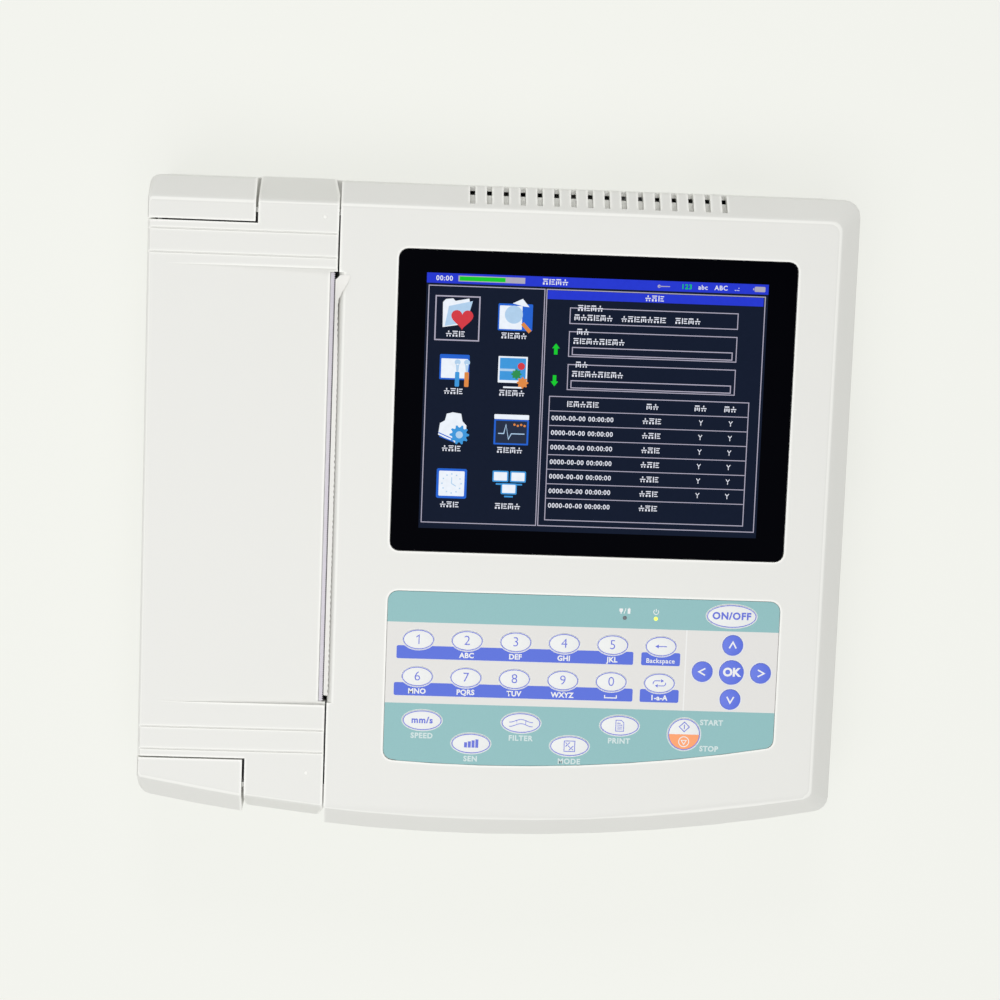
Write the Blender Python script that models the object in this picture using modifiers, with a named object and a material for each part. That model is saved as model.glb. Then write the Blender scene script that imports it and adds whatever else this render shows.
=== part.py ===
"""A tabletop ECG recorder: a flat case with a screen, a membrane keypad and a wide paper printer.

Run with: blender --background --python part.py
X runs to the right, Y to the rear and Z up. The origin is under the middle of the feet.
Sizes below are in millimetres. Blender's own unit stays the metre.
"""

import math

import bmesh
import bpy
from mathutils import Matrix, Vector

MM = 0.001

# ---------------------------------------------------------------- driving dimensions
HALF_WIDTH = 177.5  # the case from its middle to its side wall
REAR_Y = 165.4  # outer face of the rear wall
FRONT_Y = -165.4  # outer face of the front wall at its middle
FRONT_BOW = 0.00056  # the front edge is a parabola, y = FRONT_Y + FRONT_BOW * x * x
TOP_Z = 86.0
SPLIT_Z = 40.0  # where the two case shells meet
FOOT_HEIGHT = 4.0
WALL = 2.5
TOP_THICKNESS = 3.5
SHOULDER = 11.0  # the bevel round the top, across and down
GAP = 0.4  # between neighbouring pieces

SEAM_X = -83.0  # between the printer door and the main deck
DOOR_REAR_Y = 143.45
DOOR_FRONT_Y = -126.35
HINGE_X = -171.5
HINGE_Z = 78.0
TAB_LEFT_X = -123.2
TAB_REAR_CREST_Y = 155.0
TAB_FRONT_CREST_Y = -146.0
TAB_FRONT_SLANT = -0.1156  # the front tab follows the bowed edge
TAB_DROP = 28.0
TAB_REACH = 11.6
RECESS_FLOOR_Z = 46.0  # bottom of the finger recesses under the tabs

SLOT_REAR_Y = 120.75
SLOT_FRONT_Y = -96.55
DISH_REAR_Y = 122.25
DISH_FRONT_Y = -97.85
DISH_DEPTH = 3.0
GROOVES_Y = (139.45, 127.7, -110.95, -122.45)

PLATEN_X = -91.5
PLATEN_Z = 70.0
PLATEN_RADIUS = 7.0
SHAFT_RADIUS = 2.0
PINION_DROP = 11.2  # from the platen's axis to the pinion's
MODULE = 1.0
PLATEN_TEETH = 14
PINION_TEETH = 8
ROLL_X = -140.0
ROLL_Z = 54.0
ROLL_RADIUS = 24.0
PAPER_REAR_Y = 117.1
PAPER_WIDTH = 210.0
PAPER_THICKNESS = 0.3

WINDOW = (-53.2, 145.6, -17.4, 133.6)  # left, right, front, rear
WINDOW_RADIUS = 4.5
SCREEN = (-39.2, 131.2, -5.6, 122.2)  # the lit area of the display

KEYPAD_LEFT = -53.2
KEYPAD_RIGHT = 145.4
KEYPAD_REAR = -38.05
KEYPAD_FRONT = -126.45
KEYPAD_BOW = 0.00063
KEYPAD_RADIUS = 5.0
OVERLAY_LOW_Z = 84.9
OVERLAY_TOP_Z = 85.9
KEY_LOW_Z = 84.7
KEY_TOP_Z = 86.3

DIGIT_SIZE = (16.0, 10.4)
DIGIT_LEFT_X = -37.2
DIGIT_PITCH_X = 24.6
DIGIT_ROWS_Y = (-62.5, -81.5)
FUNCTION_SIZE = (20.0, 10.5)
FUNCTION_LEFT_X = -34.0
FUNCTION_PITCH_X = 25.12
FUNCTION_ROWS_Y = (-104.05, -115.4)
ARROW_CENTRE = (122.3, -74.9)
ARROW_STEP = (14.9, 14.0)

VENT_COUNT = 16
VENT_LEFT_X = -17.8
VENT_PITCH = 8.38
VENT_WIDTH = 2.7

# ---------------------------------------------------------------- scene and materials


def clear_scene():
    for obj in list(bpy.data.objects):
        bpy.data.objects.remove(obj, do_unlink=True)


def new_collection(name):
    collection = bpy.data.collections.new(name)
    bpy.context.scene.collection.children.link(collection)
    return collection


clear_scene()
PARTS = new_collection("ecg_recorder")
CUTTERS = new_collection("cutters")

FINISHES = {
    # colour, roughness, metallic
    "case": ((0.80, 0.80, 0.77), 0.45, 0.0),
    "inner_plastic": ((0.32, 0.33, 0.34), 0.55, 0.0),
    "black_glass": ((0.01, 0.01, 0.014), 0.08, 0.0),
    "display": ((0.03, 0.04, 0.09), 0.25, 0.0),
    "membrane": ((0.30, 0.55, 0.56), 0.40, 0.0),
    "key_white": ((0.88, 0.90, 0.89), 0.40, 0.0),
    "key_blue": ((0.10, 0.17, 0.70), 0.40, 0.0),
    "key_orange": ((0.95, 0.42, 0.20), 0.40, 0.0),
    "steel": ((0.60, 0.61, 0.62), 0.30, 1.0),
    "brass": ((0.75, 0.58, 0.28), 0.30, 1.0),
    "rubber": ((0.05, 0.05, 0.055), 0.80, 0.0),
    "paper": ((0.93, 0.92, 0.89), 0.85, 0.0),
    "card": ((0.55, 0.42, 0.28), 0.85, 0.0),
    "board": ((0.04, 0.25, 0.12), 0.50, 0.0),
    "black_plastic": ((0.03, 0.03, 0.035), 0.45, 0.0),
    "gear_plastic": ((0.85, 0.84, 0.78), 0.50, 0.0),
    "lamp_green": ((0.62, 0.85, 0.20), 0.25, 0.0),
    "lamp_clear": ((0.55, 0.60, 0.60), 0.25, 0.0),
    "aluminium": ((0.75, 0.76, 0.77), 0.35, 1.0),
}


def new_material(name, finish):
    colour, roughness, metallic = FINISHES[finish]
    material = bpy.data.materials.new(name)
    material.use_nodes = True
    shader = material.node_tree.nodes["Principled BSDF"]
    shader.inputs["Base Color"].default_value = (*colour, 1.0)
    shader.inputs["Roughness"].default_value = roughness
    shader.inputs["Metallic"].default_value = metallic
    material.diffuse_color = (*colour, 1.0)
    return material


def set_finish(obj, finish):
    obj.data.materials.clear()
    obj.data.materials.append(new_material(obj.name, finish))
    return obj


# ---------------------------------------------------------------- shapes


def fillet(points, radii, steps=4):
    """The 2D outline with each corner rounded to its radius. A radius of 0 keeps the corner."""
    outline = []
    count = len(points)
    for index, corner in enumerate(points):
        corner = Vector(corner)
        radius = radii[index]
        if radius == 0:
            outline.append(tuple(corner))
            continue
        to_last = (Vector(points[index - 1]) - corner).normalized()
        to_next = (Vector(points[(index + 1) % count]) - corner).normalized()
        half = to_last.angle(to_next) / 2
        centre = corner + (to_last + to_next).normalized() * radius / math.sin(half)
        start = corner + to_last * radius / math.tan(half) - centre
        end = corner + to_next * radius / math.tan(half) - centre
        turn = start.angle_signed(end)
        for step in range(steps + 1):
            outline.append(tuple(centre + Matrix.Rotation(-turn * step / steps, 2) @ start))
    return outline


def arc(centre, radius, start, end, steps):
    """Points on a circle from one angle to another, in degrees."""
    angles = [math.radians(start + (end - start) * step / steps) for step in range(steps + 1)]
    return [(centre[0] + radius * math.cos(a), centre[1] + radius * math.sin(a)) for a in angles]


def ellipse(centre, size, steps=24):
    """A closed oval of the given width and height."""
    angles = [math.tau * step / steps for step in range(steps)]
    return [
        (centre[0] + size[0] / 2 * math.cos(a), centre[1] + size[1] / 2 * math.sin(a))
        for a in angles
    ]


def link_mesh(name, bm, collection):
    bmesh.ops.recalc_face_normals(bm, faces=bm.faces[:])
    mesh = bpy.data.meshes.new(name)
    bm.to_mesh(mesh)
    bm.free()
    obj = bpy.data.objects.new(name, mesh)
    collection.objects.link(obj)
    if collection is CUTTERS:
        obj.hide_render = True
        obj.display_type = "WIRE"
    return obj


# Each axis's prism: which world coordinates the outline's two numbers and the depth become.
PLANES = {
    "Z": Matrix(((1, 0, 0), (0, 1, 0), (0, 0, 1))),
    "Y": Matrix(((1, 0, 0), (0, 0, 1), (0, 1, 0))),
    "X": Matrix(((0, 0, 1), (1, 0, 0), (0, 1, 0))),
}


def prism(name, outlines, low, high, axis="Z", collection=PARTS):
    """A flat outline, or several with holes between them, given a thickness along one axis."""
    if not isinstance(outlines[0][0], tuple):
        outlines = [outlines]
    curve = bpy.data.curves.new(name, "CURVE")
    curve.dimensions = "2D"
    curve.fill_mode = "BOTH"
    curve.extrude = (high - low) / 2
    for outline in outlines:
        spline = curve.splines.new("POLY")
        spline.points.add(len(outline) - 1)
        for point, (x, y) in zip(spline.points, outline):
            point.co = (x, y, 0, 1)
        spline.use_cyclic_u = True
    guide = bpy.data.objects.new(name + "_outline", curve)
    bpy.context.scene.collection.objects.link(guide)
    graph = bpy.context.evaluated_depsgraph_get()
    mesh = bpy.data.meshes.new_from_object(guide.evaluated_get(graph))
    bpy.data.objects.remove(guide, do_unlink=True)
    bm = bmesh.new()
    bm.from_mesh(mesh)
    bpy.data.meshes.remove(mesh)
    bmesh.ops.remove_doubles(bm, verts=bm.verts[:], dist=0.001)
    bmesh.ops.translate(bm, verts=bm.verts[:], vec=(0, 0, (low + high) / 2))
    bmesh.ops.transform(bm, matrix=(PLANES[axis] * MM).to_4x4(), verts=bm.verts[:])
    return link_mesh(name, bm, collection)


def add_box(bm, low, high):
    made = bmesh.ops.create_cube(bm, size=1)
    size = [(b - a) * MM for a, b in zip(low, high)]
    middle = [(a + b) / 2 * MM for a, b in zip(low, high)]
    bmesh.ops.scale(bm, vec=size, verts=made["verts"])
    bmesh.ops.translate(bm, vec=middle, verts=made["verts"])


def boxes(name, spans, collection=PARTS):
    """Separate boxes in one object, each given as its low and its high corner."""
    bm = bmesh.new()
    for low, high in spans:
        add_box(bm, low, high)
    return link_mesh(name, bm, collection)


def box(name, low, high, collection=PARTS):
    return boxes(name, [(low, high)], collection)


TURNS = {
    "X": Matrix.Rotation(math.radians(90), 4, "Y"),
    "Y": Matrix.Rotation(math.radians(-90), 4, "X"),
    "Z": Matrix.Identity(4),
}


def cylinder(name, axis, centre, radius, low, high, steps=16, collection=PARTS, end_radius=None):
    """A cylinder along an axis. centre holds its two other coordinates, in X, Y, Z order."""
    bm = bmesh.new()
    bmesh.ops.create_cone(
        bm,
        cap_ends=True,
        segments=steps,
        radius1=radius * MM,
        radius2=(end_radius or radius) * MM,
        depth=(high - low) * MM,
    )
    place = list(centre)
    place.insert("XYZ".index(axis), (low + high) / 2)
    matrix = Matrix.Translation(Vector(place) * MM) @ TURNS[axis]
    bmesh.ops.transform(bm, matrix=matrix, verts=bm.verts[:])
    obj = link_mesh(name, bm, collection)
    if collection is PARTS:
        smooth(obj)
    return obj


def loft(name, sections, collection=PARTS):
    """A closed skin through sections with equal numbers of points, each (height, outline)."""
    bm = bmesh.new()
    rings = []
    for height, outline in sections:
        rings.append([bm.verts.new((x * MM, y * MM, height * MM)) for x, y in outline])
    for lower, upper in zip(rings, rings[1:]):
        for index in range(len(lower)):
            after = (index + 1) % len(lower)
            bm.faces.new((lower[index], lower[after], upper[after], upper[index]))
    bm.faces.new(rings[0])
    bm.faces.new(rings[-1])
    return link_mesh(name, bm, collection)


def smooth(obj, angle=40):
    obj.data.shade_smooth()
    obj.data.set_sharp_from_angle(angle=math.radians(angle))
    return obj


def boolean(target, other, operation="DIFFERENCE"):
    modifier = target.modifiers.new(f"{operation.lower()}_{other.name}", "BOOLEAN")
    modifier.operation = operation
    modifier.object = other
    modifier.solver = "EXACT"


def cut(target, *others):
    for other in others:
        boolean(target, other)


def fuse(target, *others):
    for other in others:
        boolean(target, other, "UNION")


def set_origin(obj, point):
    """Moves the object's origin to a point, in millimetres, and leaves its shape in place."""
    place = Vector(point) * MM
    obj.data.transform(Matrix.Translation(-place))
    obj.location = place
    return obj


# ---------------------------------------------------------------- case outline


def case_outline(inset, left_inset, radii):
    """The case seen from above: rear left, front left, the bowed front, front right, rear right."""

    def front(x):
        return FRONT_Y + inset + FRONT_BOW * x * x

    left = -HALF_WIDTH + left_inset
    right = HALF_WIDTH - inset
    rear = REAR_Y - inset
    front_steps = 12
    bow = [left + (right - left) * step / front_steps for step in range(1, front_steps)]
    points = [(left, rear), (left, front(left))]
    points += [(x, front(x)) for x in bow]
    points += [(right, front(right)), (right, rear)]
    rear_left, front_left, front_right, rear_right = radii
    rounds = [rear_left, front_left] + [0] * len(bow) + [front_right, rear_right]
    return fillet(points, rounds)


# Height below the top, inset all round, inset on the left, and the four corner radii.
SHOULDER_PROFILE = (
    (12.24, 0.0, 0.0, (5, 7, 8, 8.5)),
    (11.09, 0.23, 0.0, (5, 7, 8, 8.5)),
    (10.12, 0.88, 0.0, (4.6, 6.5, 7.7, 8.3)),
    (1.46, 9.54, 0.1, (1.8, 1.8, 5.3, 6.3)),
    (0.38, 11.16, 0.83, (1.5, 1.5, 5.0, 5.8)),
    (0.0, 13.07, 2.0, (1.2, 1.2, 4.5, 5.0)),
)


def upper_skin(name):
    """The whole upper case as one solid, before it is hollowed."""
    sections = [(SPLIT_Z, case_outline(0, 0, SHOULDER_PROFILE[0][3]))]
    for drop, inset, left, radii in SHOULDER_PROFILE:
        sections.append((TOP_Z - drop, case_outline(inset, left, radii)))
    return loft(name, sections)


def upper_void():
    """The space inside the upper case."""
    slope_low = TOP_Z - SHOULDER - WALL
    slope_high = TOP_Z - TOP_THICKNESS
    top_inset = WALL + slope_high - slope_low
    sections = [
        (SPLIT_Z - 1, case_outline(WALL, WALL, (3, 4, 5, 6))),
        (slope_low, case_outline(WALL, WALL, (3, 4, 5, 6))),
        (slope_high, case_outline(top_inset, WALL, (1, 1, 2, 2))),
    ]
    return loft("upper_void", sections, CUTTERS)


# ---------------------------------------------------------------- case

POST_LEFT_X = TAB_LEFT_X - 1.3  # right face of the fixed corners beside the tabs
LIP_X = SEAM_X + GAP  # left edge of the main deck
CORNER_REAR_Y = DOOR_REAR_Y + 0.8
CORNER_FRONT_Y = DOOR_FRONT_Y - 0.8
RECESS_REAR_Y = 151.0
RECESS_FRONT_Y = -142.0
DOOR_WELL_Z = 69.8
DEEP = 38.0  # below the upper case's lower rim
HIGH = 100.0


def inner_walls():
    """Walls that stay inside the upper case: round the two fixed corners and the finger recesses."""
    wall = 2.4
    return (
        ((-190, CORNER_REAR_Y, DEEP), (POST_LEFT_X, CORNER_REAR_Y + wall, HIGH)),
        ((-190, CORNER_FRONT_Y - wall, DEEP), (POST_LEFT_X, CORNER_FRONT_Y, HIGH)),
        ((POST_LEFT_X - wall, CORNER_REAR_Y + 0.1, DEEP), (POST_LEFT_X, 190, HIGH)),
        ((POST_LEFT_X - wall, -190, DEEP), (POST_LEFT_X, CORNER_FRONT_Y - 0.1, HIGH)),
        ((POST_LEFT_X - 1, RECESS_REAR_Y - wall, DEEP), (LIP_X + 1, RECESS_REAR_Y, HIGH)),
        ((POST_LEFT_X - 1, RECESS_FRONT_Y, DEEP), (LIP_X + 1, RECESS_FRONT_Y + wall, HIGH)),
        ((LIP_X, -190, DEEP), (LIP_X + wall, 190, HIGH)),
        ((POST_LEFT_X - 1, RECESS_REAR_Y - 1, DEEP), (LIP_X + 1, 190, RECESS_FLOOR_Z)),
        ((POST_LEFT_X - 1, -190, DEEP), (LIP_X + 1, RECESS_FRONT_Y + 1, RECESS_FLOOR_Z)),
    )


def rounded_box_outline(left, right, front, rear, radius, steps=4):
    corners = [(left, front), (right, front), (right, rear), (left, rear)]
    return fillet(corners, [radius] * 4, steps)


def keypad_outline(inset):
    """The keypad's outline, with its bowed front edge."""

    def front(x):
        return KEYPAD_FRONT + inset + KEYPAD_BOW * x * x

    left = KEYPAD_LEFT + inset
    right = KEYPAD_RIGHT - inset
    rear = KEYPAD_REAR - inset
    steps = 8
    bow = [left + (right - left) * step / steps for step in range(1, steps)]
    points = [(left, rear), (left, front(left))] + [(x, front(x)) for x in bow]
    points += [(right, front(right)), (right, rear)]
    radius = KEYPAD_RADIUS - inset * 0.6
    rounds = [radius, radius] + [0] * len(bow) + [radius * 0.8, radius]
    return fillet(points, rounds)


def hinge_bores():
    """Cutters for both hinge pins, shared by the door and the case."""
    rear = cylinder("bore_rear", "Y", (HINGE_X, HINGE_Z), 1.9, 136.5, 150, 12, CUTTERS)
    front = cylinder("bore_front", "Y", (HINGE_X, HINGE_Z), 1.9, -131, -119.5, 12, CUTTERS)
    return rear, front


def vent_cutter():
    spans = []
    for index in range(VENT_COUNT):
        x = VENT_LEFT_X + VENT_PITCH * index
        low = (x - VENT_WIDTH / 2, TAB_REAR_CREST_Y + 1.8, TOP_Z - 20)
        high = (x + VENT_WIDTH / 2, REAR_Y + 5, TOP_Z + 1)
        spans.append((low, high))
    return boxes("vents_cut", spans, CUTTERS)


def lip_cutter():
    """Rounds the main deck's edge where the paper comes out."""
    radius = 4.2
    centre = (LIP_X + radius, TOP_Z - radius)
    outline = [(LIP_X - 1, TOP_Z + 1), (LIP_X - 1, centre[1])]
    outline += arc(centre, radius, 180, 90, 5)
    outline.append((centre[0], TOP_Z + 1))
    return prism("lip_cut", outline, SLOT_FRONT_Y, SLOT_REAR_Y, "Y", CUTTERS)


def build_top_cover():
    cover = upper_skin("top_cover")
    void = upper_void()
    for index, (low, high) in enumerate(inner_walls()):
        boolean(void, box(f"inner_wall_{index}", low, high, CUTTERS))
    cut(cover, void)
    door_low_y, door_high_y = CORNER_FRONT_Y, CORNER_REAR_Y
    cut(cover, box("door_well", (-200, door_low_y, DOOR_WELL_Z), (LIP_X, door_high_y, HIGH), CUTTERS))
    tab_low = TOP_Z - TOP_THICKNESS - 0.6
    cut(cover, box("tab_well_rear", (POST_LEFT_X, 140, tab_low), (LIP_X, 200, HIGH), CUTTERS))
    cut(cover, box("tab_well_front", (POST_LEFT_X, -200, tab_low), (LIP_X, -120, HIGH), CUTTERS))
    rear_low = (POST_LEFT_X, RECESS_REAR_Y, RECESS_FLOOR_Z)
    cut(cover, box("finger_well_rear", rear_low, (LIP_X, 200, HIGH + 1), CUTTERS))
    front_low = (POST_LEFT_X, -200, RECESS_FLOOR_Z)
    cut(cover, box("finger_well_front", front_low, (LIP_X, RECESS_FRONT_Y, HIGH + 1), CUTTERS))
    window = rounded_box_outline(*grow(WINDOW, 0.3), WINDOW_RADIUS + 0.3)
    cut(cover, prism("window_pocket", window, 84.3, HIGH, "Z", CUTTERS))
    screen = grow(SCREEN, 1.9)
    cut(cover, box("screen_hole", (screen[0], screen[2], 80), (screen[1], screen[3], HIGH), CUTTERS))
    cut(cover, prism("keypad_pocket", keypad_outline(-0.3), 84.6, HIGH, "Z", CUTTERS))
    cut(cover, prism("keypad_hole", keypad_outline(1.2), 80, HIGH, "Z", CUTTERS))
    cut(cover, vent_cutter(), lip_cutter(), *BORES)
    set_finish(cover, "case")
    return cover


def grow(span, amount):
    left, right, front, rear = span
    return left - amount, right + amount, front - amount, rear + amount


LOWER_RADII = SHOULDER_PROFILE[0][3]
FLOOR_Z = FOOT_HEIGHT + WALL

INLET = (110.0, 138.0, 13.0, 34.0)  # left, right, low, high
DATA_PORT = (58.0, 76.0, 14.0, 28.0)
GROUND_X = 93.0
GROUND_Z = 24.0
LEADS = (10.0, 50.0, 13.0, 29.0)  # front, rear, low, high, in the right wall
BATTERY_BAY = (-165.0, -95.0, -80.0, 80.0)
BOARD = (-72.0, 155.0, -125.0, 60.0)
BOARD_LOW_Z = 18.0


def build_bottom_case():
    top = SPLIT_Z - 0.3
    edge = case_outline(3, 3, (3, 4, 5, 5.5))
    full = case_outline(0, 0, LOWER_RADII)
    case = loft("bottom_case", [(FOOT_HEIGHT, edge), (FOOT_HEIGHT + 3, full), (top, full)])
    inner = case_outline(WALL, WALL, (3, 4, 5, 6))
    low_inner = case_outline(WALL + 1, WALL + 1, (3, 4, 5, 6))
    cut(case, loft("lower_void", [(FLOOR_Z, low_inner), (FLOOR_Z + 3, inner), (top + 1, inner)], CUTTERS))
    left, right, low, high = INLET
    cut(case, box("inlet_hole", (left, 155, low), (right, 180, high), CUTTERS))
    left, right, low, high = DATA_PORT
    cut(case, box("data_hole", (left, 155, low), (right, 180, high), CUTTERS))
    cut(case, cylinder("ground_hole", "Y", (GROUND_X, GROUND_Z), 4.4, 155, 180, 16, CUTTERS))
    front, rear, low, high = LEADS
    cut(case, box("leads_hole", (165, front, low), (190, rear, high), CUTTERS))
    left, right, front, rear = BATTERY_BAY
    cut(case, box("battery_hole", (left, front, 0), (right, rear, FLOOR_Z + 1), CUTTERS))
    inset = 8.0
    for index, x in enumerate((BOARD[0] + inset, BOARD[1] - inset)):
        for level, y in enumerate((BOARD[2] + inset, BOARD[3] - inset)):
            post = cylinder(f"post_{index}{level}", "Z", (x, y), 3.5, 5, BOARD_LOW_Z - 0.2, 8, CUTTERS)
            fuse(case, post)
    set_finish(case, "case")
    return case


# ---------------------------------------------------------------- printer door

SKIRT_LOW_Z = 71.6  # the skirt clears the case wall as the door swings


def door_section():
    """The door's cross-section: a plate, a skirt at the hinge and a flange at the free edge."""
    skin = -HALF_WIDTH + 0.2
    free = SEAM_X - GAP
    corners = [
        (skin, SKIRT_LOW_Z),
        (skin, TOP_Z),
        (free, TOP_Z),
        (free, HINGE_Z),
        (free - 5, HINGE_Z),
        (free - 5, 80.3),
        (-168.0, 83.2),
        (-174.8, 83.2),
        (-174.8, SKIRT_LOW_Z + 1.4),
        (-176.0, SKIRT_LOW_Z),
    ]
    radii = [0, 2.0, 0.5, 0, 0, 0, 0, 1.5, 0, 0]
    return fillet(corners, radii, 3)


def tab_profile():
    """A tab from the side: a plate that turns down over the shoulder. The crest is at 0, 0."""
    inner_drop = TOP_THICKNESS - 0.9
    corners = [
        (-14.0, 0.0),
        (0.0, 0.0),
        (TAB_REACH, -TAB_DROP),
        (TAB_REACH - 2.7, -TAB_DROP),
        (-1.5, -inner_drop),
        (-14.0, -inner_drop),
    ]
    return fillet(corners, [0, 3.0, 0.6, 0.6, 1.0, 0], 4)


def build_tab(name, crest_y, facing, slant, root):
    """One of the two tabs that the door is lifted by."""
    outline = [(crest_y + facing * (y - (root if y < -13 else 0)), TOP_Z + z) for y, z in tab_profile()]
    tab = prism(name, outline, TAB_LEFT_X, SEAM_X - GAP, "X", CUTTERS)
    for vertex in tab.data.vertices:
        vertex.co.y += slant * (vertex.co.x - TAB_LEFT_X * MM)
    low_z = TOP_Z - TAB_DROP - 1
    wedge = [(SEAM_X - GAP, HINGE_Z), (SEAM_X - GAP - 2.6, low_z), (SEAM_X + 2, low_z), (SEAM_X + 2, HINGE_Z)]
    far = crest_y + facing * 25
    cut(tab, prism(name + "_relief", wedge, min(crest_y, far), max(crest_y, far), "Y", CUTTERS))
    return tab


def build_door():
    door = prism("printer_door", door_section(), DOOR_FRONT_Y, DOOR_REAR_Y, "Y")
    dish = [(-168.0, TOP_Z), (SEAM_X + 1, TOP_Z - DISH_DEPTH), (SEAM_X + 1, TOP_Z + 2), (-168.0, TOP_Z + 2)]
    cut(door, prism("dish_cut", dish, DISH_FRONT_Y, DISH_REAR_Y, "Y", CUTTERS))
    slot_low = (SEAM_X - 2.3, SLOT_FRONT_Y, 70)
    cut(door, box("slot_cut", slot_low, (SEAM_X + 2, SLOT_REAR_Y, 90), CUTTERS))
    rabbet_low = (SEAM_X - 4.1, SLOT_FRONT_Y + 0.1, 82.0)
    cut(door, box("tear_rabbet", rabbet_low, (SEAM_X + 2, SLOT_REAR_Y - 0.1, 90), CUTTERS))
    fuse(door, build_tab("tab_rear", TAB_REAR_CREST_Y, 1, 0.0, 0.0))
    fuse(door, build_tab("tab_front", TAB_FRONT_CREST_Y, -1, TAB_FRONT_SLANT, 14.0))
    groove_spans = [((-185, y - 0.45, TOP_Z - 0.6), (SEAM_X + 2, y + 0.45, 90)) for y in GROOVES_Y]
    cut(door, boxes("grooves_cut", groove_spans, CUTTERS))
    for name, low, high in (("rear", 118.7, 121.1), ("front", -97.1, -94.7)):
        arm = box(f"arm_{name}", (-98.0, low, 63.5), (-87.5, high, 82.0), CUTTERS)
        fuse(door, arm)
    for name, low, high in (("rear", 134.5, DOOR_REAR_Y - 0.5), ("front", DOOR_FRONT_Y + 0.5, -117.5)):
        fuse(door, box(f"boss_{name}", (-176.0, low, 73.5), (-166.5, high, 84.5), CUTTERS))
    shaft = (PLATEN_X, PLATEN_Z)
    cut(door, cylinder("platen_bore", "Y", shaft, SHAFT_RADIUS + 0.35, -99, 123, 16, CUTTERS))
    cut(door, *BORES)
    set_origin(door, (HINGE_X, 0, HINGE_Z))
    set_finish(door, "case")
    return door


def build_hinge_pins():
    for name, low, high in (("door_pin_rear", 137.0, 147.3), ("door_pin_front", -130.6, -120.0)):
        set_finish(cylinder(name, "Y", (HINGE_X, HINGE_Z), 1.5, low, high, 12), "steel")


def build_tear_bar():
    """A serrated strip in the door's edge, its teeth towards the paper."""
    pitch = 2.4
    notches = 90
    start = (SLOT_REAR_Y + SLOT_FRONT_Y - (notches - 1) * pitch) / 2
    root_x, tip_x = SEAM_X - 2.2, SEAM_X - 1.5
    half_notch = pitch * 0.44
    bar = box("tear_bar", (SEAM_X - 3.7, SLOT_FRONT_Y + 0.5, 82.3), (tip_x, SLOT_REAR_Y - 0.5, 83.0))
    notch = [(tip_x + 0.1, start - half_notch), (root_x, start), (tip_x + 0.1, start + half_notch)]
    cutter = prism("notches_cut", notch, 82.0, 83.3, "Z", CUTTERS)
    array = cutter.modifiers.new("along the bar", "ARRAY")
    array.count = notches
    array.use_relative_offset = False
    array.use_constant_offset = True
    array.constant_offset_displace = (0, pitch * MM, 0)
    cut(bar, cutter)
    set_origin(bar, (HINGE_X, 0, HINGE_Z))
    set_finish(bar, "steel")


# ---------------------------------------------------------------- printer


def bay_section():
    """The paper bay's cross-section: a ledge, a trough round the roll and a shelf for the head."""
    wall = 2.0
    inner = ROLL_RADIUS + 2.0
    outer = inner + wall
    shelf_top = 52.0
    shelf_low = shelf_top - wall
    shelf_angle = math.degrees(math.asin((shelf_low - ROLL_Z) / outer))
    centre = (ROLL_X, ROLL_Z)
    outline = [(-174.6, 66.0), (ROLL_X - inner, 66.0)]
    outline += arc(centre, inner, 180, 360, 12)
    outline += [(ROLL_X + inner, 60.0), (ROLL_X + outer, 60.0), (ROLL_X + outer, shelf_top)]
    outline += [(LIP_X - 0.6, shelf_top), (LIP_X - 0.6, shelf_low)]
    outline += arc(centre, outer, 360 + shelf_angle, 180, 12)
    outline += [(ROLL_X - outer, 64.0), (-174.6, 64.0)]
    return outline


BAY_REAR_Y = 131.0
BAY_FRONT_Y = -98.5
BAY_TOP_Z = 77.2


def build_paper_bay():
    bay = prism("paper_bay", bay_section(), BAY_FRONT_Y, BAY_REAR_Y, "Y")
    right = LIP_X - 0.6
    plate = [(-168.0, 24.0), (right, 24.0), (right, BAY_TOP_Z), (-161.0, BAY_TOP_Z), (-161.0, 67.0), (-168.0, 67.0)]
    for name, low, high in (("rear", BAY_REAR_Y - 0.2, BAY_REAR_Y + 2), ("front", BAY_FRONT_Y - 2, BAY_FRONT_Y + 0.2)):
        fuse(bay, prism(f"bay_end_{name}", plate, low, high, "Y", CUTTERS))
    low_z = BAY_TOP_Z - 2
    ledges = (
        ("rear", -161.0, BAY_REAR_Y + 1, CORNER_REAR_Y - GAP),
        ("front", -161.0, CORNER_FRONT_Y + GAP, BAY_FRONT_Y - 1),
        ("rear_tab", POST_LEFT_X + GAP, BAY_REAR_Y + 1, RECESS_REAR_Y - 2.8),
        ("front_tab", POST_LEFT_X + GAP, RECESS_FRONT_Y + 2.8, BAY_FRONT_Y - 1),
    )
    for name, left, low, high in ledges:
        fuse(bay, box(f"ledge_{name}", (left, low, low_z), (right, high, BAY_TOP_Z), CUTTERS))
    pinion = (PLATEN_X, PLATEN_Z - PINION_DROP)
    cut(bay, cylinder("pinion_bore", "Y", pinion, 2.4, 129, 135, 12, CUTTERS))
    set_finish(bay, "inner_plastic")


def gear_outline(centre, teeth, phase):
    """A gear of straight-sided teeth with one tooth's middle at the phase angle, in degrees."""
    pitch_radius = MODULE * teeth / 2
    root = pitch_radius - 1.15 * MODULE
    tip = pitch_radius + 0.9 * MODULE
    step = math.tau / teeth
    outline = []
    for index in range(teeth):
        middle = math.radians(phase) + index * step
        for radius, share in ((root, -0.27), (tip, -0.14), (tip, 0.14), (root, 0.27)):
            angle = middle + share * step
            outline.append((centre[0] + radius * math.cos(angle), centre[1] + radius * math.sin(angle)))
    return outline


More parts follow.
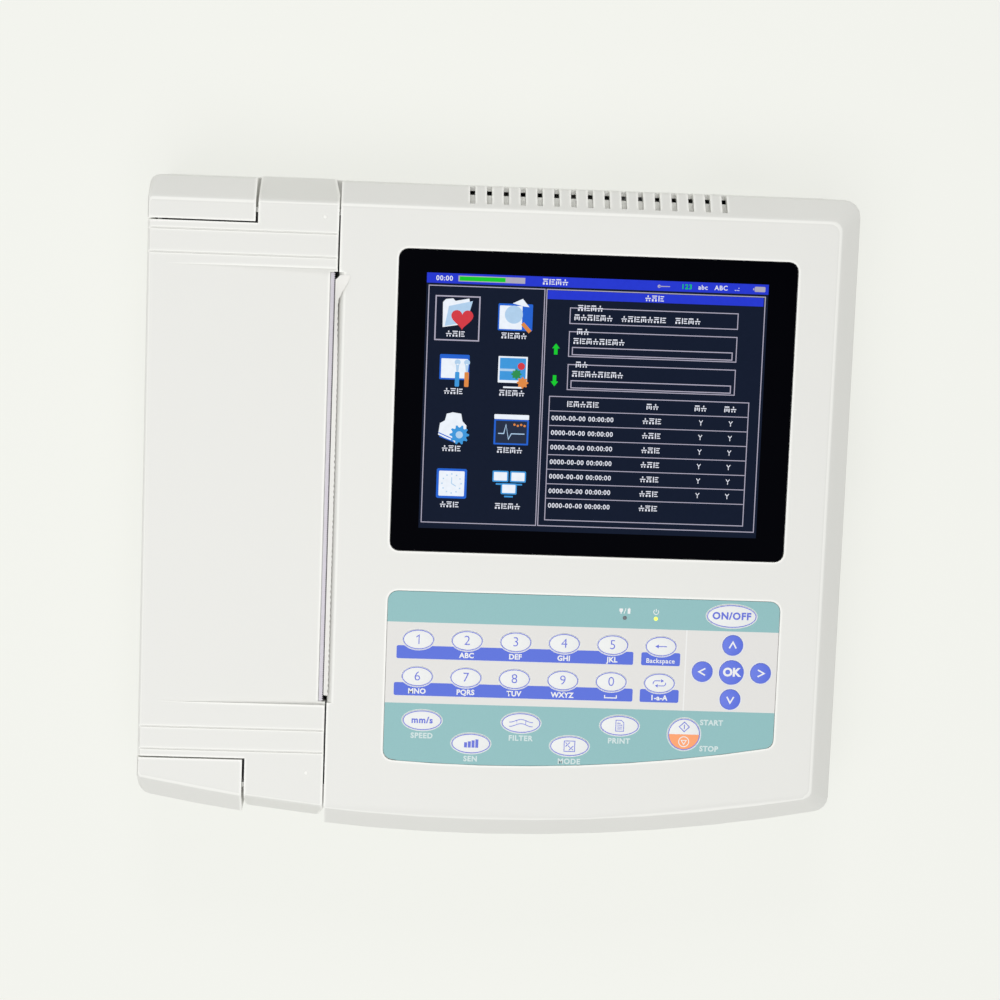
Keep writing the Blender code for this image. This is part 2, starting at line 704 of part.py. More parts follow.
def build_platen():
    axis = (PLATEN_X, PLATEN_Z)
    bore = cylinder("roller_bore", "Y", axis, SHAFT_RADIUS + 0.3, -120, 150, 16, CUTTERS)
    low = PAPER_REAR_Y - PAPER_WIDTH - 1.1
    roller = cylinder("platen_roller", "Y", axis, PLATEN_RADIUS, low, PAPER_REAR_Y + 1.1, 32)
    cut(roller, bore)
    set_finish(roller, "rubber")
    shaft = cylinder("platen_shaft", "Y", axis, SHAFT_RADIUS, -97.6, 129.4, 16)
    set_finish(shaft, "steel")
    gear = prism("platen_gear", gear_outline(axis, PLATEN_TEETH, -90), 122.5, 128.5, "Y")
    cut(gear, bore)
    set_finish(gear, "gear_plastic")
    for piece in (roller, shaft, gear):
        set_origin(piece, (PLATEN_X, 0, PLATEN_Z))


def build_paper_drive():
    axis = (PLATEN_X, PLATEN_Z - PINION_DROP)
    phase = 90 + 180 / PINION_TEETH
    pinion = prism("motor_pinion", gear_outline(axis, PINION_TEETH, phase), 122.5, 128.5, "Y")
    fuse(pinion, cylinder("pinion_shaft", "Y", axis, 1.4, 121.8, 137.0, 12, CUTTERS))
    set_origin(pinion, (axis[0], 0, axis[1]))
    set_finish(pinion, "gear_plastic")
    motor = cylinder("paper_motor", "Y", (-98.0, 60.0), 13.8, 134.0, 147.6, 24)
    cut(motor, cylinder("motor_bore", "Y", axis, 1.8, 130.0, 138.0, 12, CUTTERS))
    set_finish(motor, "steel")


def build_print_head():
    rear = PAPER_REAR_Y - 1
    front = PAPER_REAR_Y - PAPER_WIDTH + 1
    head = box("print_head", (-99.0, front, 57.4), (-84.4, rear, 61.8))
    set_finish(head, "aluminium")
    bracket = box("head_bracket", (-97.0, front + 2, 52.3), (-86.0, rear - 2, 57.1))
    set_finish(bracket, "steel")


def strip_outline(path, thickness):
    """The outline of a thin strip that follows a path."""
    sides = ([], [])
    for index, point in enumerate(path):
        before = Vector(path[max(index - 1, 0)])
        after = Vector(path[min(index + 1, len(path) - 1)])
        along = (after - before).normalized()
        across = Vector((-along.y, along.x)) * thickness / 2
        sides[0].append(tuple(Vector(point) + across))
        sides[1].append(tuple(Vector(point) - across))
    return sides[0] + sides[1][::-1]


def paper_path():
    """From the roll's top, under the platen and up to the slot."""
    roll = Vector((ROLL_X, ROLL_Z))
    platen = Vector((PLATEN_X, PLATEN_Z))
    roll_reach = ROLL_RADIUS + 0.8
    platen_reach = PLATEN_RADIUS + 0.75
    between = platen - roll
    slope = math.atan2(between.y, between.x) - math.asin((roll_reach + platen_reach) / between.length)
    off = math.degrees(slope) + 90
    path = [arc(roll, roll_reach, off, off, 1)[0]]
    path += arc(platen, platen_reach, off - 180, 0, 8)
    path.append((PLATEN_X + platen_reach, TOP_Z - 1.2))
    return path


def build_paper():
    low = PAPER_REAR_Y - PAPER_WIDTH
    axis = (ROLL_X, ROLL_Z)
    roll = cylinder("paper_roll", "Y", axis, ROLL_RADIUS, low, PAPER_REAR_Y, 40)
    cut(roll, cylinder("roll_bore", "Y", axis, 8.0, low - 5, PAPER_REAR_Y + 5, 24, CUTTERS))
    set_finish(roll, "paper")
    core = cylinder("paper_core", "Y", axis, 7.7, low, PAPER_REAR_Y, 24)
    cut(core, cylinder("core_bore", "Y", axis, 6.5, low - 5, PAPER_REAR_Y + 5, 24, CUTTERS))
    set_finish(core, "card")
    for piece in (roll, core):
        set_origin(piece, (ROLL_X, 0, ROLL_Z))
    web = prism("paper_web", strip_outline(paper_path(), PAPER_THICKNESS), low, PAPER_REAR_Y, "Y")
    set_finish(web, "paper")


# ---------------------------------------------------------------- display and keypad


def build_display():
    window = prism("display_window", rounded_box_outline(*WINDOW, WINDOW_RADIUS), 84.5, OVERLAY_TOP_Z)
    set_finish(window, "black_glass")
    left, right, front, rear = grow(SCREEN, 6.8)
    set_finish(box("display_module", (left, front, 74.0), (right, rear, 82.2)), "display")


def key_table():
    """Every key: name, centre, width and height, and finish."""
    keys = []
    for row, names in enumerate((("1", "2", "3", "4", "5", "erase"), ("6", "7", "8", "9", "0", "cycle"))):
        for column, name in enumerate(names):
            x = DIGIT_LEFT_X + DIGIT_PITCH_X * column
            keys.append((f"key_{name}", (x, DIGIT_ROWS_Y[row]), DIGIT_SIZE, "key_white"))
    for column, name in enumerate(("speed", "gain", "filter", "mode", "print")):
        x = FUNCTION_LEFT_X + FUNCTION_PITCH_X * column
        keys.append((f"key_{name}", (x, FUNCTION_ROWS_Y[column % 2]), FUNCTION_SIZE, "key_white"))
    centre_x, centre_y = ARROW_CENTRE
    for name, right, up in (("up", 0, 1), ("down", 0, -1), ("left", -1, 0), ("right", 1, 0)):
        place = (centre_x + right * ARROW_STEP[0], centre_y + up * ARROW_STEP[1])
        keys.append((f"key_{name}", place, (10.5, 10.5), "key_blue"))
    keys.append(("key_select", ARROW_CENTRE, (12.5, 12.5), "key_blue"))
    keys.append(("key_power", (121.0, -45.95), (25.6, 12.0), "key_white"))
    keys.append(("key_start_stop", (99.6, -107.6), (16.7, 16.7), "key_orange"))
    return keys


LAMPS = (("mains_lamp", (66.7, -48.4), "lamp_clear"), ("power_lamp", (82.5, -48.4), "lamp_green"))
LAMP_RADIUS = 1.0


def build_keypad():
    keys = key_table()
    outlines = [keypad_outline(0)]
    for _, centre, size, _ in keys:
        outlines.append(ellipse(centre, (size[0] + 0.6, size[1] + 0.6)))
    for _, centre, _ in LAMPS:
        outlines.append(ellipse(centre, (2 * LAMP_RADIUS + 0.6, 2 * LAMP_RADIUS + 0.6), 12))
    overlay = prism("keypad_overlay", outlines, OVERLAY_LOW_Z, OVERLAY_TOP_Z)
    set_finish(overlay, "membrane")
    board = prism("keypad_board", keypad_outline(3.0), 82.3, 83.9)
    set_finish(board, "board")
    for name, centre, size, finish in keys:
        key = cylinder(name, "Z", (0, 0), 1, KEY_LOW_Z, KEY_TOP_Z, 24, end_radius=0.95)
        for vertex in key.data.vertices:
            vertex.co.x = vertex.co.x * size[0] / 2 + centre[0] * MM
            vertex.co.y = vertex.co.y * size[1] / 2 + centre[1] * MM
        set_origin(key, (*centre, KEY_LOW_Z))
        set_finish(key, finish)
    for name, centre, finish in LAMPS:
        lamp = cylinder(name, "Z", centre, LAMP_RADIUS, 84.2, OVERLAY_TOP_Z + 0.1, 12)
        set_finish(lamp, finish)


# ---------------------------------------------------------------- inside and underneath


def build_power_parts():
    left, right, front, rear = grow(BATTERY_BAY, -4)
    set_finish(box("battery_pack", (left, front, 8.5), (right, rear, 22.0)), "black_plastic")
    left, right, front, rear = grow(BATTERY_BAY, -GAP)
    cover = box("battery_cover", (left, front, FOOT_HEIGHT), (right, rear, FLOOR_Z - 0.2))
    notch = cylinder("cover_notch", "Z", ((left + right) / 2, rear - 9), 6, 0, FOOT_HEIGHT + 1.2, 16, CUTTERS)
    cut(cover, notch)
    set_finish(cover, "case")
    module = box("power_module", (88.0, 72.0, FLOOR_Z + 0.4), (160.0, 136.0, 46.0))
    set_finish(module, "aluminium")


def build_boards():
    left, right, front, rear = BOARD
    set_finish(box("main_board", (left, front, BOARD_LOW_Z), (right, rear, BOARD_LOW_Z + 1.6)), "board")


def build_sockets():
    left, right, low, high = INLET
    face = REAR_Y - 0.2
    inlet = box("mains_inlet", (left + GAP, 142.0, low + GAP), (right - GAP, face, high - GAP))
    cut(inlet, box("inlet_cavity", (left + 2.6, 150.0, low + 2.6), (right - 2.6, 180.0, high - 2.6), CUTTERS))
    for index, (x, z) in enumerate(((-7, -2), (0, 2.5), (7, -2))):
        middle_x, middle_z = (left + right) / 2 + x, (low + high) / 2 + z
        blade = box(
            f"blade_{index}",
            (middle_x - 1, 149.0, middle_z - 2),
            (middle_x + 1, 161.0, middle_z + 2),
            CUTTERS,
        )
        fuse(inlet, blade)
    set_finish(inlet, "black_plastic")
    left, right, low, high = DATA_PORT
    port = box("data_port", (left + GAP, 147.0, low + GAP), (right - GAP, face, high - GAP))
    cut(port, box("data_cavity", (left + 2, 151.0, low + 2), (right - 2, 180.0, high - 2), CUTTERS))
    set_finish(port, "steel")
    post = cylinder("ground_post", "Y", (GROUND_X, GROUND_Z), 4.0, 148.0, face, 16)
    cut(post, cylinder("ground_bore", "Y", (GROUND_X, GROUND_Z), 1.6, 156.0, 180.0, 12, CUTTERS))
    set_finish(post, "brass")
    front, rear, low, high = LEADS
    socket = box("lead_socket", (160.0, front + GAP, low + GAP), (HALF_WIDTH - 0.2, rear - GAP, high - GAP))
    cut(socket, box("lead_cavity", (168.0, front + 6, low + 3), (190.0, rear - 6, high - 3), CUTTERS))
    set_finish(socket, "black_plastic")


def build_feet():
    for side, x in (("left", -152.0), ("right", 150.0)):
        for end, y in (("rear", 140.0), ("front", -128.0)):
            foot = cylinder(f"foot_{end}_{side}", "Z", (x, y), 7.4, 0, FOOT_HEIGHT - 0.2, 20, end_radius=8.2)
            set_finish(foot, "rubber")


BORES = hinge_bores()
build_top_cover()
build_bottom_case()
build_door()
build_hinge_pins()
build_tear_bar()
build_paper_bay()
build_platen()
build_paper_drive()
build_print_head()
build_paper()
build_display()
build_keypad()
build_power_parts()
build_boards()
build_sockets()
build_feet()
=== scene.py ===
# %% [markdown]
# # Finishing a tabletop ECG recorder
# The engineering model gives us every part at its true size and place. Here we give the parts their
# looks: soft moulded edges, a printed keypad, a lit display, a torn strip of recording paper, and a
# material with real-scale detail for each piece. We start by loading that model as a fixed frame.

# %% Load the frame
import math

import bpy
from mathutils import Matrix, Vector


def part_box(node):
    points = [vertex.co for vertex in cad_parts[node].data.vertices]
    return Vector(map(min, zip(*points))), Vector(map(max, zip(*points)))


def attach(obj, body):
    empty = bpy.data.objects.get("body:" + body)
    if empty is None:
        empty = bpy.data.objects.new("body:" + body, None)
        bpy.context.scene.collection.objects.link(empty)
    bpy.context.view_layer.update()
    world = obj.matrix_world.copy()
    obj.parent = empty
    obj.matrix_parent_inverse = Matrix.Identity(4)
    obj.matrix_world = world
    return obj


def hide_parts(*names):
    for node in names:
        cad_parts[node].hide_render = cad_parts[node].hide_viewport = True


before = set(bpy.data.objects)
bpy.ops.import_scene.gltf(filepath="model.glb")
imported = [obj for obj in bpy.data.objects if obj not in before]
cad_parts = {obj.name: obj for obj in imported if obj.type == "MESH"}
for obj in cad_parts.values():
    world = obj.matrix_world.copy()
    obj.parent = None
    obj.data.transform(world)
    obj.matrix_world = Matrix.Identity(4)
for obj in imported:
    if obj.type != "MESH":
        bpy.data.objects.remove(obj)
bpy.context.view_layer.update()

MM = 0.001


# %% [markdown]
# Blender's operators act on whatever is selected, so two small helpers come first: one selects a
# single object, and one reads a part's lowest and highest corner in millimetres. A third puts a
# finished piece on the part of the machine that carries it.

# %% Selecting, measuring and mounting
def only(piece):
    """Selects one object and nothing else."""
    bpy.ops.object.select_all(action="DESELECT")
    piece.select_set(True)
    bpy.context.view_layer.objects.active = piece
    return piece


def span(node):
    low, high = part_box(node)
    return low / MM, high / MM


def mount(piece, body, material, *nodes):
    """Places a finished piece: its material, the body it rides on, and the parts it stands for."""
    piece.data.materials.clear()
    piece.data.materials.append(material)
    if nodes:
        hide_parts(*nodes)
    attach(piece, body)
    return piece


def settle(piece):
    """Moves an object's place, turn and size into its mesh, so that it sits at the origin."""
    only(piece)
    bpy.ops.object.transform_apply(location=True, rotation=True, scale=True)
    return piece


print("case, in mm:", [tuple(round(c, 1) for c in corner) for corner in span("top_cover")])

# %% [markdown]
# ## Camera
# We look down on the machine from behind its middle, with a longish 90 mm lens, so its straight
# sides stay nearly parallel. The small turns about each axis tip the picture the way a hand-held
# camera does.

# %% Camera
camera_data = bpy.data.cameras.new("studio_camera")
camera_data.lens = 90.0
camera_data.sensor_width = 36.0
camera = bpy.data.objects.new("studio_camera", camera_data)
camera.location = (-0.0592, 0.1724, 1.3283)
camera.rotation_euler = (-0.1318, -0.04359, 0.03806)
bpy.context.scene.collection.objects.link(camera)
bpy.context.scene.camera = camera
print("camera stands", round(camera.location.z, 2), "m above the table")

# %% [markdown]
# ## Light
# A white machine on a white table needs very even light. A pale world fills every shadow, a large
# softbox above makes the flat top the brightest part, and a small one behind the machine adds a little
# gloss to the crest of the case. The crest's bright line is a painted highlight in the case's material.
# The display transform is Standard, which keeps pale colours as they are set.


# %% Light
def softbox(name, place, aim, size, watts):
    """A square area light that faces a point."""
    light = bpy.data.lights.new(name, "AREA")
    light.shape = "SQUARE"
    light.size = size
    light.energy = watts
    holder = bpy.data.objects.new(name, light)
    holder.location = place
    towards = Vector(aim) - Vector(place)
    holder.rotation_euler = towards.to_track_quat("-Z", "Y").to_euler()
    bpy.context.scene.collection.objects.link(holder)
    return holder


softbox("top_softbox", (-0.3, -0.5, 2.3), (0, 0, 0), 1.8, 26.0)
softbox("rear_softbox", (-0.1, 1.5, 1.5), (0, 0.05, 0), 0.5, 5.0)
world = bpy.data.worlds.new("studio")
world.use_nodes = True
world.node_tree.nodes["Background"].inputs["Color"].default_value = (1.0, 1.0, 0.985, 1.0)
world.node_tree.nodes["Background"].inputs["Strength"].default_value = 0.50
bpy.context.scene.world = world
bpy.context.scene.view_settings.view_transform = "Standard"
print("lights:", [light.name for light in bpy.data.lights])

# %% [markdown]
# ## Building materials from nodes
# Every finish below is a Principled shader with patterns added by nodes. One helper adds a node and
# links it. Patterns read Object coordinates, which are metres here, so a noise of scale 2500 has
# features 0.4 mm across, the size of the spark-eroded grain on a moulded case.


# %% Node helper
def add(material, kind, inputs=None, **settings):
    """Adds a node. Each input is a value, or another node's output to link."""
    made = material.node_tree.nodes.new(kind)
    for name, value in settings.items():
        setattr(made, name, value)
    for socket, value in (inputs or {}).items():
        if isinstance(value, bpy.types.NodeSocket):
            material.node_tree.links.new(value, made.inputs[socket])
        else:
            made.inputs[socket].default_value = value
    return made


def start_finish(name, colour, roughness, metallic=0.0, specular=0.5):
    """A material with its Principled shader set, and the place that its patterns read."""
    material = bpy.data.materials.new(name)
    material.use_nodes = True
    material.diffuse_color = (*colour, 1.0)
    shader = material.node_tree.nodes["Principled BSDF"]
    shader.inputs["Base Color"].default_value = (*colour, 1.0)
    shader.inputs["Roughness"].default_value = roughness
    shader.inputs["Metallic"].default_value = metallic
    shader.inputs["Specular IOR Level"].default_value = specular
    place = add(material, "ShaderNodeTexCoord").outputs["Object"]
    return material, shader, place


def join(material, output, socket):
    material.node_tree.links.new(output, socket)


def raise_grain(material, shader, height, strength, depth):
    """Bump from a pattern, given by its height output. Depth is in millimetres."""
    bump = add(material, "ShaderNodeBump", {"Height": height, "Strength": strength, "Distance": depth * MM})
    join(material, bump.outputs["Normal"], shader.inputs["Normal"])


def blended(material, factor, dark, light):
    """An output that runs from one colour to the other as the factor goes from 0 to 1."""
    mix = add(material, "ShaderNodeMix", {"Factor": factor}, data_type="RGBA")
    for socket, colour in ((mix.inputs[6], dark), (mix.inputs[7], light)):
        if isinstance(colour, bpy.types.NodeSocket):
            join(material, colour, socket)
        else:
            socket.default_value = (*colour, 1.0)
    return mix.outputs[2]


def shaded(colour, share):
    """A colour made darker or lighter, and kept under full white."""
    return [min(channel * share, 1.0) for channel in colour]


# %% [markdown]
# ## Moulded plastic
# Moulded plastic is never one flat colour. Its fine grain scatters light and its gloss changes a
# little from patch to patch. The grain is a bump, and the patches are a wide noise on colour and
# roughness. An ambient-occlusion node finds the seams, where the colour is darkened as painted shade.
# Turned inside out, the same node finds sharp outer edges, which are lightened as a painted highlight.
# On a rounded crest the surface's own direction shows where it has begun to turn away from the top,
# and there the colour is lightened as a painted highlight too.


# %% Moulded plastic
SEAM_REACH = 1.6
EDGE_REACH = 1.7
CREST_HIGHLIGHT = ((0.86, 0.0), (0.92, 0.8), (0.97, 0.8), (0.99, 0.0))  # a face's upward slope, and the share of painted highlight there


def moulded(name, colour, roughness, grain=0.4, depth=0.006, mottle=0.02, painted_seam_shade=0.0, painted_edge_highlight=0.0):
    """Grain and depth are in millimetres. Mottle is how far the colour drifts. The last two give the strength
    of the painted shade in the seams and of the painted highlight on edges and crest.
    """
    material, shader, place = start_finish(name, colour, roughness)
    patches = add(material, "ShaderNodeTexNoise", {"Vector": place, "Scale": 22.0, "Detail": 3.0})
    tone = blended(material, patches.outputs["Fac"], shaded(colour, 1 - mottle), shaded(colour, 1 + mottle))
    # Painted shade: where the ambient-occlusion node finds a seam, the colour is darkened.
    if painted_seam_shade:
        seams = add(
            material,
            "ShaderNodeAmbientOcclusion",
            {"Distance": SEAM_REACH * MM},
            samples=6,
            only_local=True,
        )
        depth_of_seam = add(
            material,
            "ShaderNodeMapRange",
            {"Value": seams.outputs["AO"], "From Min": 0.75, "From Max": 0.3, "To Max": painted_seam_shade},
        )
        tone = blended(material, depth_of_seam.outputs["Result"], tone, shaded(colour, 0.45))
    # Painted highlight: sharp outer edges, found by the node turned inside out, and faces turning over the
    # rounded crest are lightened.
    if painted_edge_highlight:
        edges = add(
            material,
            "ShaderNodeAmbientOcclusion",
            {"Distance": EDGE_REACH * MM},
            samples=8,
            only_local=True,
            inside=True,
        )
        bright_edges = add(
            material,
            "ShaderNodeMapRange",
            {"Value": edges.outputs["AO"], "From Min": 0.92, "From Max": 0.68, "To Max": painted_edge_highlight},
        )
        facing = add(material, "ShaderNodeTexCoord").outputs["Normal"]
        upward = add(material, "ShaderNodeSeparateXYZ", {"Vector": facing}).outputs["Z"]
        crest = add(material, "ShaderNodeFloatCurve", {"Value": upward})
        for slope, share in CREST_HIGHLIGHT:
            crest.mapping.curves[0].points.new(slope, share)
        crest.mapping.curves[0].points[-1].location = (1.0, 0.0)
        crest.mapping.curves[0].points[0].location = (0.0, 0.0)
        crest.mapping.update()
        painted_highlight = add(
            material,
            "ShaderNodeMath",
            {0: bright_edges.outputs["Result"], 1: crest.outputs["Value"]},
            operation="MAXIMUM",
        )
        tone = blended(material, painted_highlight.outputs[0], tone, shaded(colour, 1.2))
    join(material, tone, shader.inputs["Base Color"])
    fine = add(material, "ShaderNodeTexNoise", {"Vector": place, "Scale": 1 / (grain * MM), "Detail": 2.0})
    raise_grain(material, shader, fine.outputs["Fac"], 0.6, depth)
    gloss = add(
        material,
        "ShaderNodeMapRange",
        {"Value": patches.outputs["Fac"], "To Min": roughness - 0.06, "To Max": roughness + 0.06},
    )
    join(material, gloss.outputs["Result"], shader.inputs["Roughness"])
    return material


# The case carries painted shade in its seams and a painted highlight on its edges and crest.
case_plastic = moulded("case_plastic", (0.80, 0.80, 0.77), 0.40, painted_seam_shade=0.3, painted_edge_highlight=1.0)
bay_plastic = moulded("bay_plastic", (0.30, 0.31, 0.32), 0.55)
black_plastic = moulded("black_plastic", (0.022, 0.022, 0.025), 0.45, depth=0.01)
gear_plastic = moulded("gear_plastic", (0.82, 0.80, 0.72), 0.42, grain=0.25)
print("plastics:", case_plastic.name, bay_plastic.name, black_plastic.name, gear_plastic.name)

# %% [markdown]
# ## Rubber and metal
# Rubber is matt with a coarse bloom. Metal needs a direction: the noise is stretched along one axis
# so that it becomes brushing or the fine rings of turning.


# %% Rubber and metal
def rubbery(name, colour, grain=0.8):
    material, shader, place = start_finish(name, colour, 0.8, specular=0.35)
    bloom = add(material, "ShaderNodeTexNoise", {"Vector": place, "Scale": 90.0, "Detail": 4.0})
    dry = add(material, "ShaderNodeMapRange", {"Value": bloom.outputs["Fac"], "To Min": 0.65, "To Max": 0.95})
    join(material, dry.outputs["Result"], shader.inputs["Roughness"])
    pits = add(material, "ShaderNodeTexNoise", {"Vector": place, "Scale": 1 / (grain * MM), "Detail": 2.0})
    raise_grain(material, shader, pits.outputs["Fac"], 0.5, 0.02)
    return material


def metallic(name, colour, roughness, stretch):
    """Metal with fine lines. Stretch squeezes the noise along each axis, in lines per metre."""
    material, shader, place = start_finish(name, colour, roughness, metallic=1.0)
    squeezed = add(material, "ShaderNodeMapping", {"Vector": place, "Scale": stretch})
    lines = add(
        material,
        "ShaderNodeTexNoise",
        {"Vector": squeezed.outputs["Vector"], "Scale": 1.0, "Detail": 3.0},
    )
    polish = add(
        material,
        "ShaderNodeMapRange",
        {"Value": lines.outputs["Fac"], "To Min": roughness - 0.1, "To Max": roughness + 0.15},
    )
    join(material, polish.outputs["Result"], shader.inputs["Roughness"])
    raise_grain(material, shader, lines.outputs["Fac"], 0.3, 0.01)
    return material


rubber = rubbery("rubber", (0.045, 0.045, 0.048))
platen_rubber = rubbery("platen_rubber", (0.05, 0.055, 0.06), grain=0.3)
steel = metallic("steel", (0.60, 0.61, 0.62), 0.32, (60, 3000, 3000))
turned_steel = metallic("turned_steel", (0.62, 0.62, 0.63), 0.28, (400, 4000, 400))
aluminium = metallic("aluminium", (0.72, 0.73, 0.74), 0.38, (3000, 80, 3000))
brass = metallic("brass", (0.74, 0.56, 0.26), 0.30, (500, 3000, 500))
print("metals:", steel.name, turned_steel.name, aluminium.name, brass.name)

# %% [markdown]
# ## The case shells
# The shells come from the engineering model as plain facets with knife-sharp edges. No moulding has
# such edges, and it is the light caught on a rounded edge that makes a case look real. We copy each
# shell, weld it, dissolve the needless triangles and bevel what is sharp. Two segments are enough
# for a radius under half a millimetre. Weighted normals then keep the wide faces looking flat, by
# letting them outvote the narrow bevel faces beside them.


# %% Softening a part's edges
SHARPEST = 35.0  # an edge that turns by more degrees than this is rounded
ROUND_STEPS = 2


def soften(node, name, body, material, radius):
    """A copy of a part with rounded edges. Radius is in millimetres."""
    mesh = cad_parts[node].data.copy()
    piece = bpy.data.objects.new(name, mesh)
    bpy.context.scene.collection.objects.link(piece)
    only(piece)
    bpy.ops.object.mode_set(mode="EDIT")
    bpy.ops.mesh.select_all(action="SELECT")
    bpy.ops.mesh.remove_doubles(threshold=0.005 * MM)
    bpy.ops.mesh.dissolve_limited(angle_limit=math.radians(1.0))
    bpy.ops.object.mode_set(mode="OBJECT")
    bpy.ops.mesh.customdata_custom_splitnormals_clear()
    bevel = piece.modifiers.new("soft_edges", "BEVEL")
    bevel.width = radius * MM
    bevel.segments = ROUND_STEPS
    bevel.limit_method = "ANGLE"
    bevel.angle_limit = math.radians(SHARPEST)
    bevel.miter_outer = "MITER_ARC"
    bpy.ops.object.modifier_apply(modifier=bevel.name)
    bpy.ops.object.shade_smooth_by_angle(angle=math.radians(40))
    flats = piece.modifiers.new("flat_faces", "WEIGHTED_NORMAL")
    flats.keep_sharp = True
    bpy.ops.object.modifier_apply(modifier=flats.name)
    print(name, "has", len(piece.data.polygons), "faces")
    return mount(piece, body, material, node)


soften("top_cover", "upper_shell", "base", case_plastic, 0.35)
soften("bottom_case", "lower_shell", "base", case_plastic, 0.5)
soften("printer_door", "door_panel", "door", case_plastic, 0.35)
soften("battery_cover", "battery_lid", "base", case_plastic, 0.3)

# %% [markdown]
# Behind the row of vents a pale shield keeps dust off the boards. It lies just inside the sloping
# shoulder, so from above the slots look shallow and light instead of black. A thin block is turned to
# the slope, its lower end is extruded down into a lip that stiffens it, and its edges are bevelled.

# %% Dust shield
SHIELD_SIZE = Vector((134.0, 11.0, 1.0))
SHIELD_CENTRE = Vector((45.05, 156.7, 76.3))
bpy.ops.object.select_all(action="DESELECT")
bpy.ops.mesh.primitive_cube_add(size=1.0, location=SHIELD_CENTRE * MM, rotation=(math.radians(-45), 0.0, 0.0))
shield = bpy.context.object
shield.name = "dust_shield"
shield.scale = SHIELD_SIZE * MM
settle(shield)
bpy.ops.object.mode_set(mode="EDIT")
bpy.ops.mesh.select_all(action="DESELECT")
bpy.ops.object.mode_set(mode="OBJECT")
for face in shield.data.polygons:
    face.select = face.normal.y > 0.5 and face.normal.z < -0.5
bpy.ops.object.mode_set(mode="EDIT")
bpy.ops.mesh.extrude_region_move(TRANSFORM_OT_translate={"value": (0.0, 0.0, -3.0 * MM)})
bpy.ops.object.mode_set(mode="OBJECT")
edges = shield.modifiers.new("soft_edges", "BEVEL")
edges.width = 0.25 * MM
edges.segments = 2
bpy.ops.object.modifier_apply(modifier=edges.name)
bpy.ops.object.shade_smooth_by_angle(angle=math.radians(40))
mount(shield, "base", case_plastic)
print("dust shield:", len(shield.data.polygons), "faces")

# %% [markdown]
# Two small pips on the door's tabs show a fingertip where to lift. Each is a flattened half ball
# that stands a fraction of a millimetre above the plate.


# %% Lifting pips
PIP_RADIUS = 0.9
PIP_FLATTENING = 0.3


def pip(name, x, y):
    door_top = span("printer_door")[1].z
    bpy.ops.object.select_all(action="DESELECT")
    bpy.ops.mesh.primitive_uv_sphere_add(
        segments=20, ring_count=12, radius=PIP_RADIUS * MM, location=(x * MM, y * MM, door_top * MM)
    )
    piece = bpy.context.object
    piece.name = name
    piece.scale = (1.0, 1.0, PIP_FLATTENING)
    settle(piece)
    bpy.ops.object.shade_smooth()
    return mount(piece, "door", case_plastic)


pip("tab_pip_rear", -90.3, 147.6)
pip("tab_pip_front", -92.0, -133.0)
print("pips stand", round(PIP_RADIUS * PIP_FLATTENING, 2), "mm proud of the door")

# %% [markdown]
# ## The tear bar
# The steel strip in the door's edge has fine teeth that cut the paper. A flat grid with two rows of
# points is all it needs: every other point of the front row is pulled back to make a tooth, and
# Solidify gives the strip its thickness. The pitch here is the real one, about a millimetre.

# %% Tear bar
bright_steel = metallic("bright_steel", (0.47, 0.45, 0.49), 0.50, (60, 3000, 3000))
TOOTH_PITCH = 1.0
TOOTH_DEPTH = 0.75
bar_low, bar_high = span("tear_bar")
half_teeth = int((bar_high.y - bar_low.y) / TOOTH_PITCH) * 2
bpy.ops.object.select_all(action="DESELECT")
bpy.ops.mesh.primitive_grid_add(x_subdivisions=1, y_subdivisions=half_teeth, size=1.0)
tear_strip = bpy.context.object
tear_strip.name = "tear_strip"
tear_strip.scale = (bar_high - bar_low) * MM
tear_strip.location = (bar_low + bar_high) / 2 * MM
settle(tear_strip)
tip_x = bar_high.x * MM
for index, vertex in enumerate(sorted(tear_strip.data.vertices, key=lambda point: point.co.y)):
    row = index // 2
    if vertex.co.x > tip_x - 0.1 * MM and row % 2 == 0:
        vertex.co.x -= TOOTH_DEPTH * MM
solid = tear_strip.modifiers.new("sheet_steel", "SOLIDIFY")
solid.thickness = (bar_high.z - bar_low.z) * MM
solid.offset = 0.0
only(tear_strip)
bpy.ops.object.modifier_apply(modifier=solid.name)
mount(tear_strip, "door", bright_steel, "tear_bar")
print("tear bar:", half_teeth // 2, "teeth")

# %% [markdown]
# ## Recording paper
# Thermal paper is a tenth of a millimetre thick and smooth, with only a faint cloud of fibres. It
# comes off the top of the roll, passes under the platen and stands up in the slot. Its torn edge
# follows the teeth, except at the rear end, where a corner was left standing and leans out over the
# rounded lip. The sheet is a grid: one direction follows the path, the other runs along the slot.


# %% Paper finish
def papery(name, colour, fibre=0.015):
    material, shader, place = start_finish(name, colour, 0.75, specular=0.25)
    fibres = add(material, "ShaderNodeTexNoise", {"Vector": place, "Scale": 700.0, "Detail": 5.0})
    tone = blended(material, fibres.outputs["Fac"], shaded(colour, 1 - fibre), shaded(colour, 1 + fibre))
    join(material, tone, shader.inputs["Base Color"])
    raise_grain(material, shader, fibres.outputs["Fac"], 0.4, 0.01)
    return material


paper = papery("recording_paper", (0.90, 0.89, 0.86))
card = papery("card_tube", (0.50, 0.37, 0.24), 0.12)


# %% [markdown]
# The path is a line in the plane across the slot. The paper leaves the roll on its outermost wrap,
# runs straight to the platen, passes under it and turns up into the slot. Both wraps are arcs, and
# the straight run touches both circles, so its direction follows from their two radii.


# %% The paper's path
def arc(centre, radius, start, end, steps):
    """Points on a circle in the plane across the slot, between two angles in degrees."""
    turns = [math.radians(start + (end - start) * step / steps) for step in range(steps + 1)]
    return [Vector((centre.x + radius * math.cos(t), centre.y + radius * math.sin(t))) for t in turns]


def middle(node):
    low, high = span(node)
    return Vector(((low.x + high.x) / 2, (low.z + high.z) / 2))


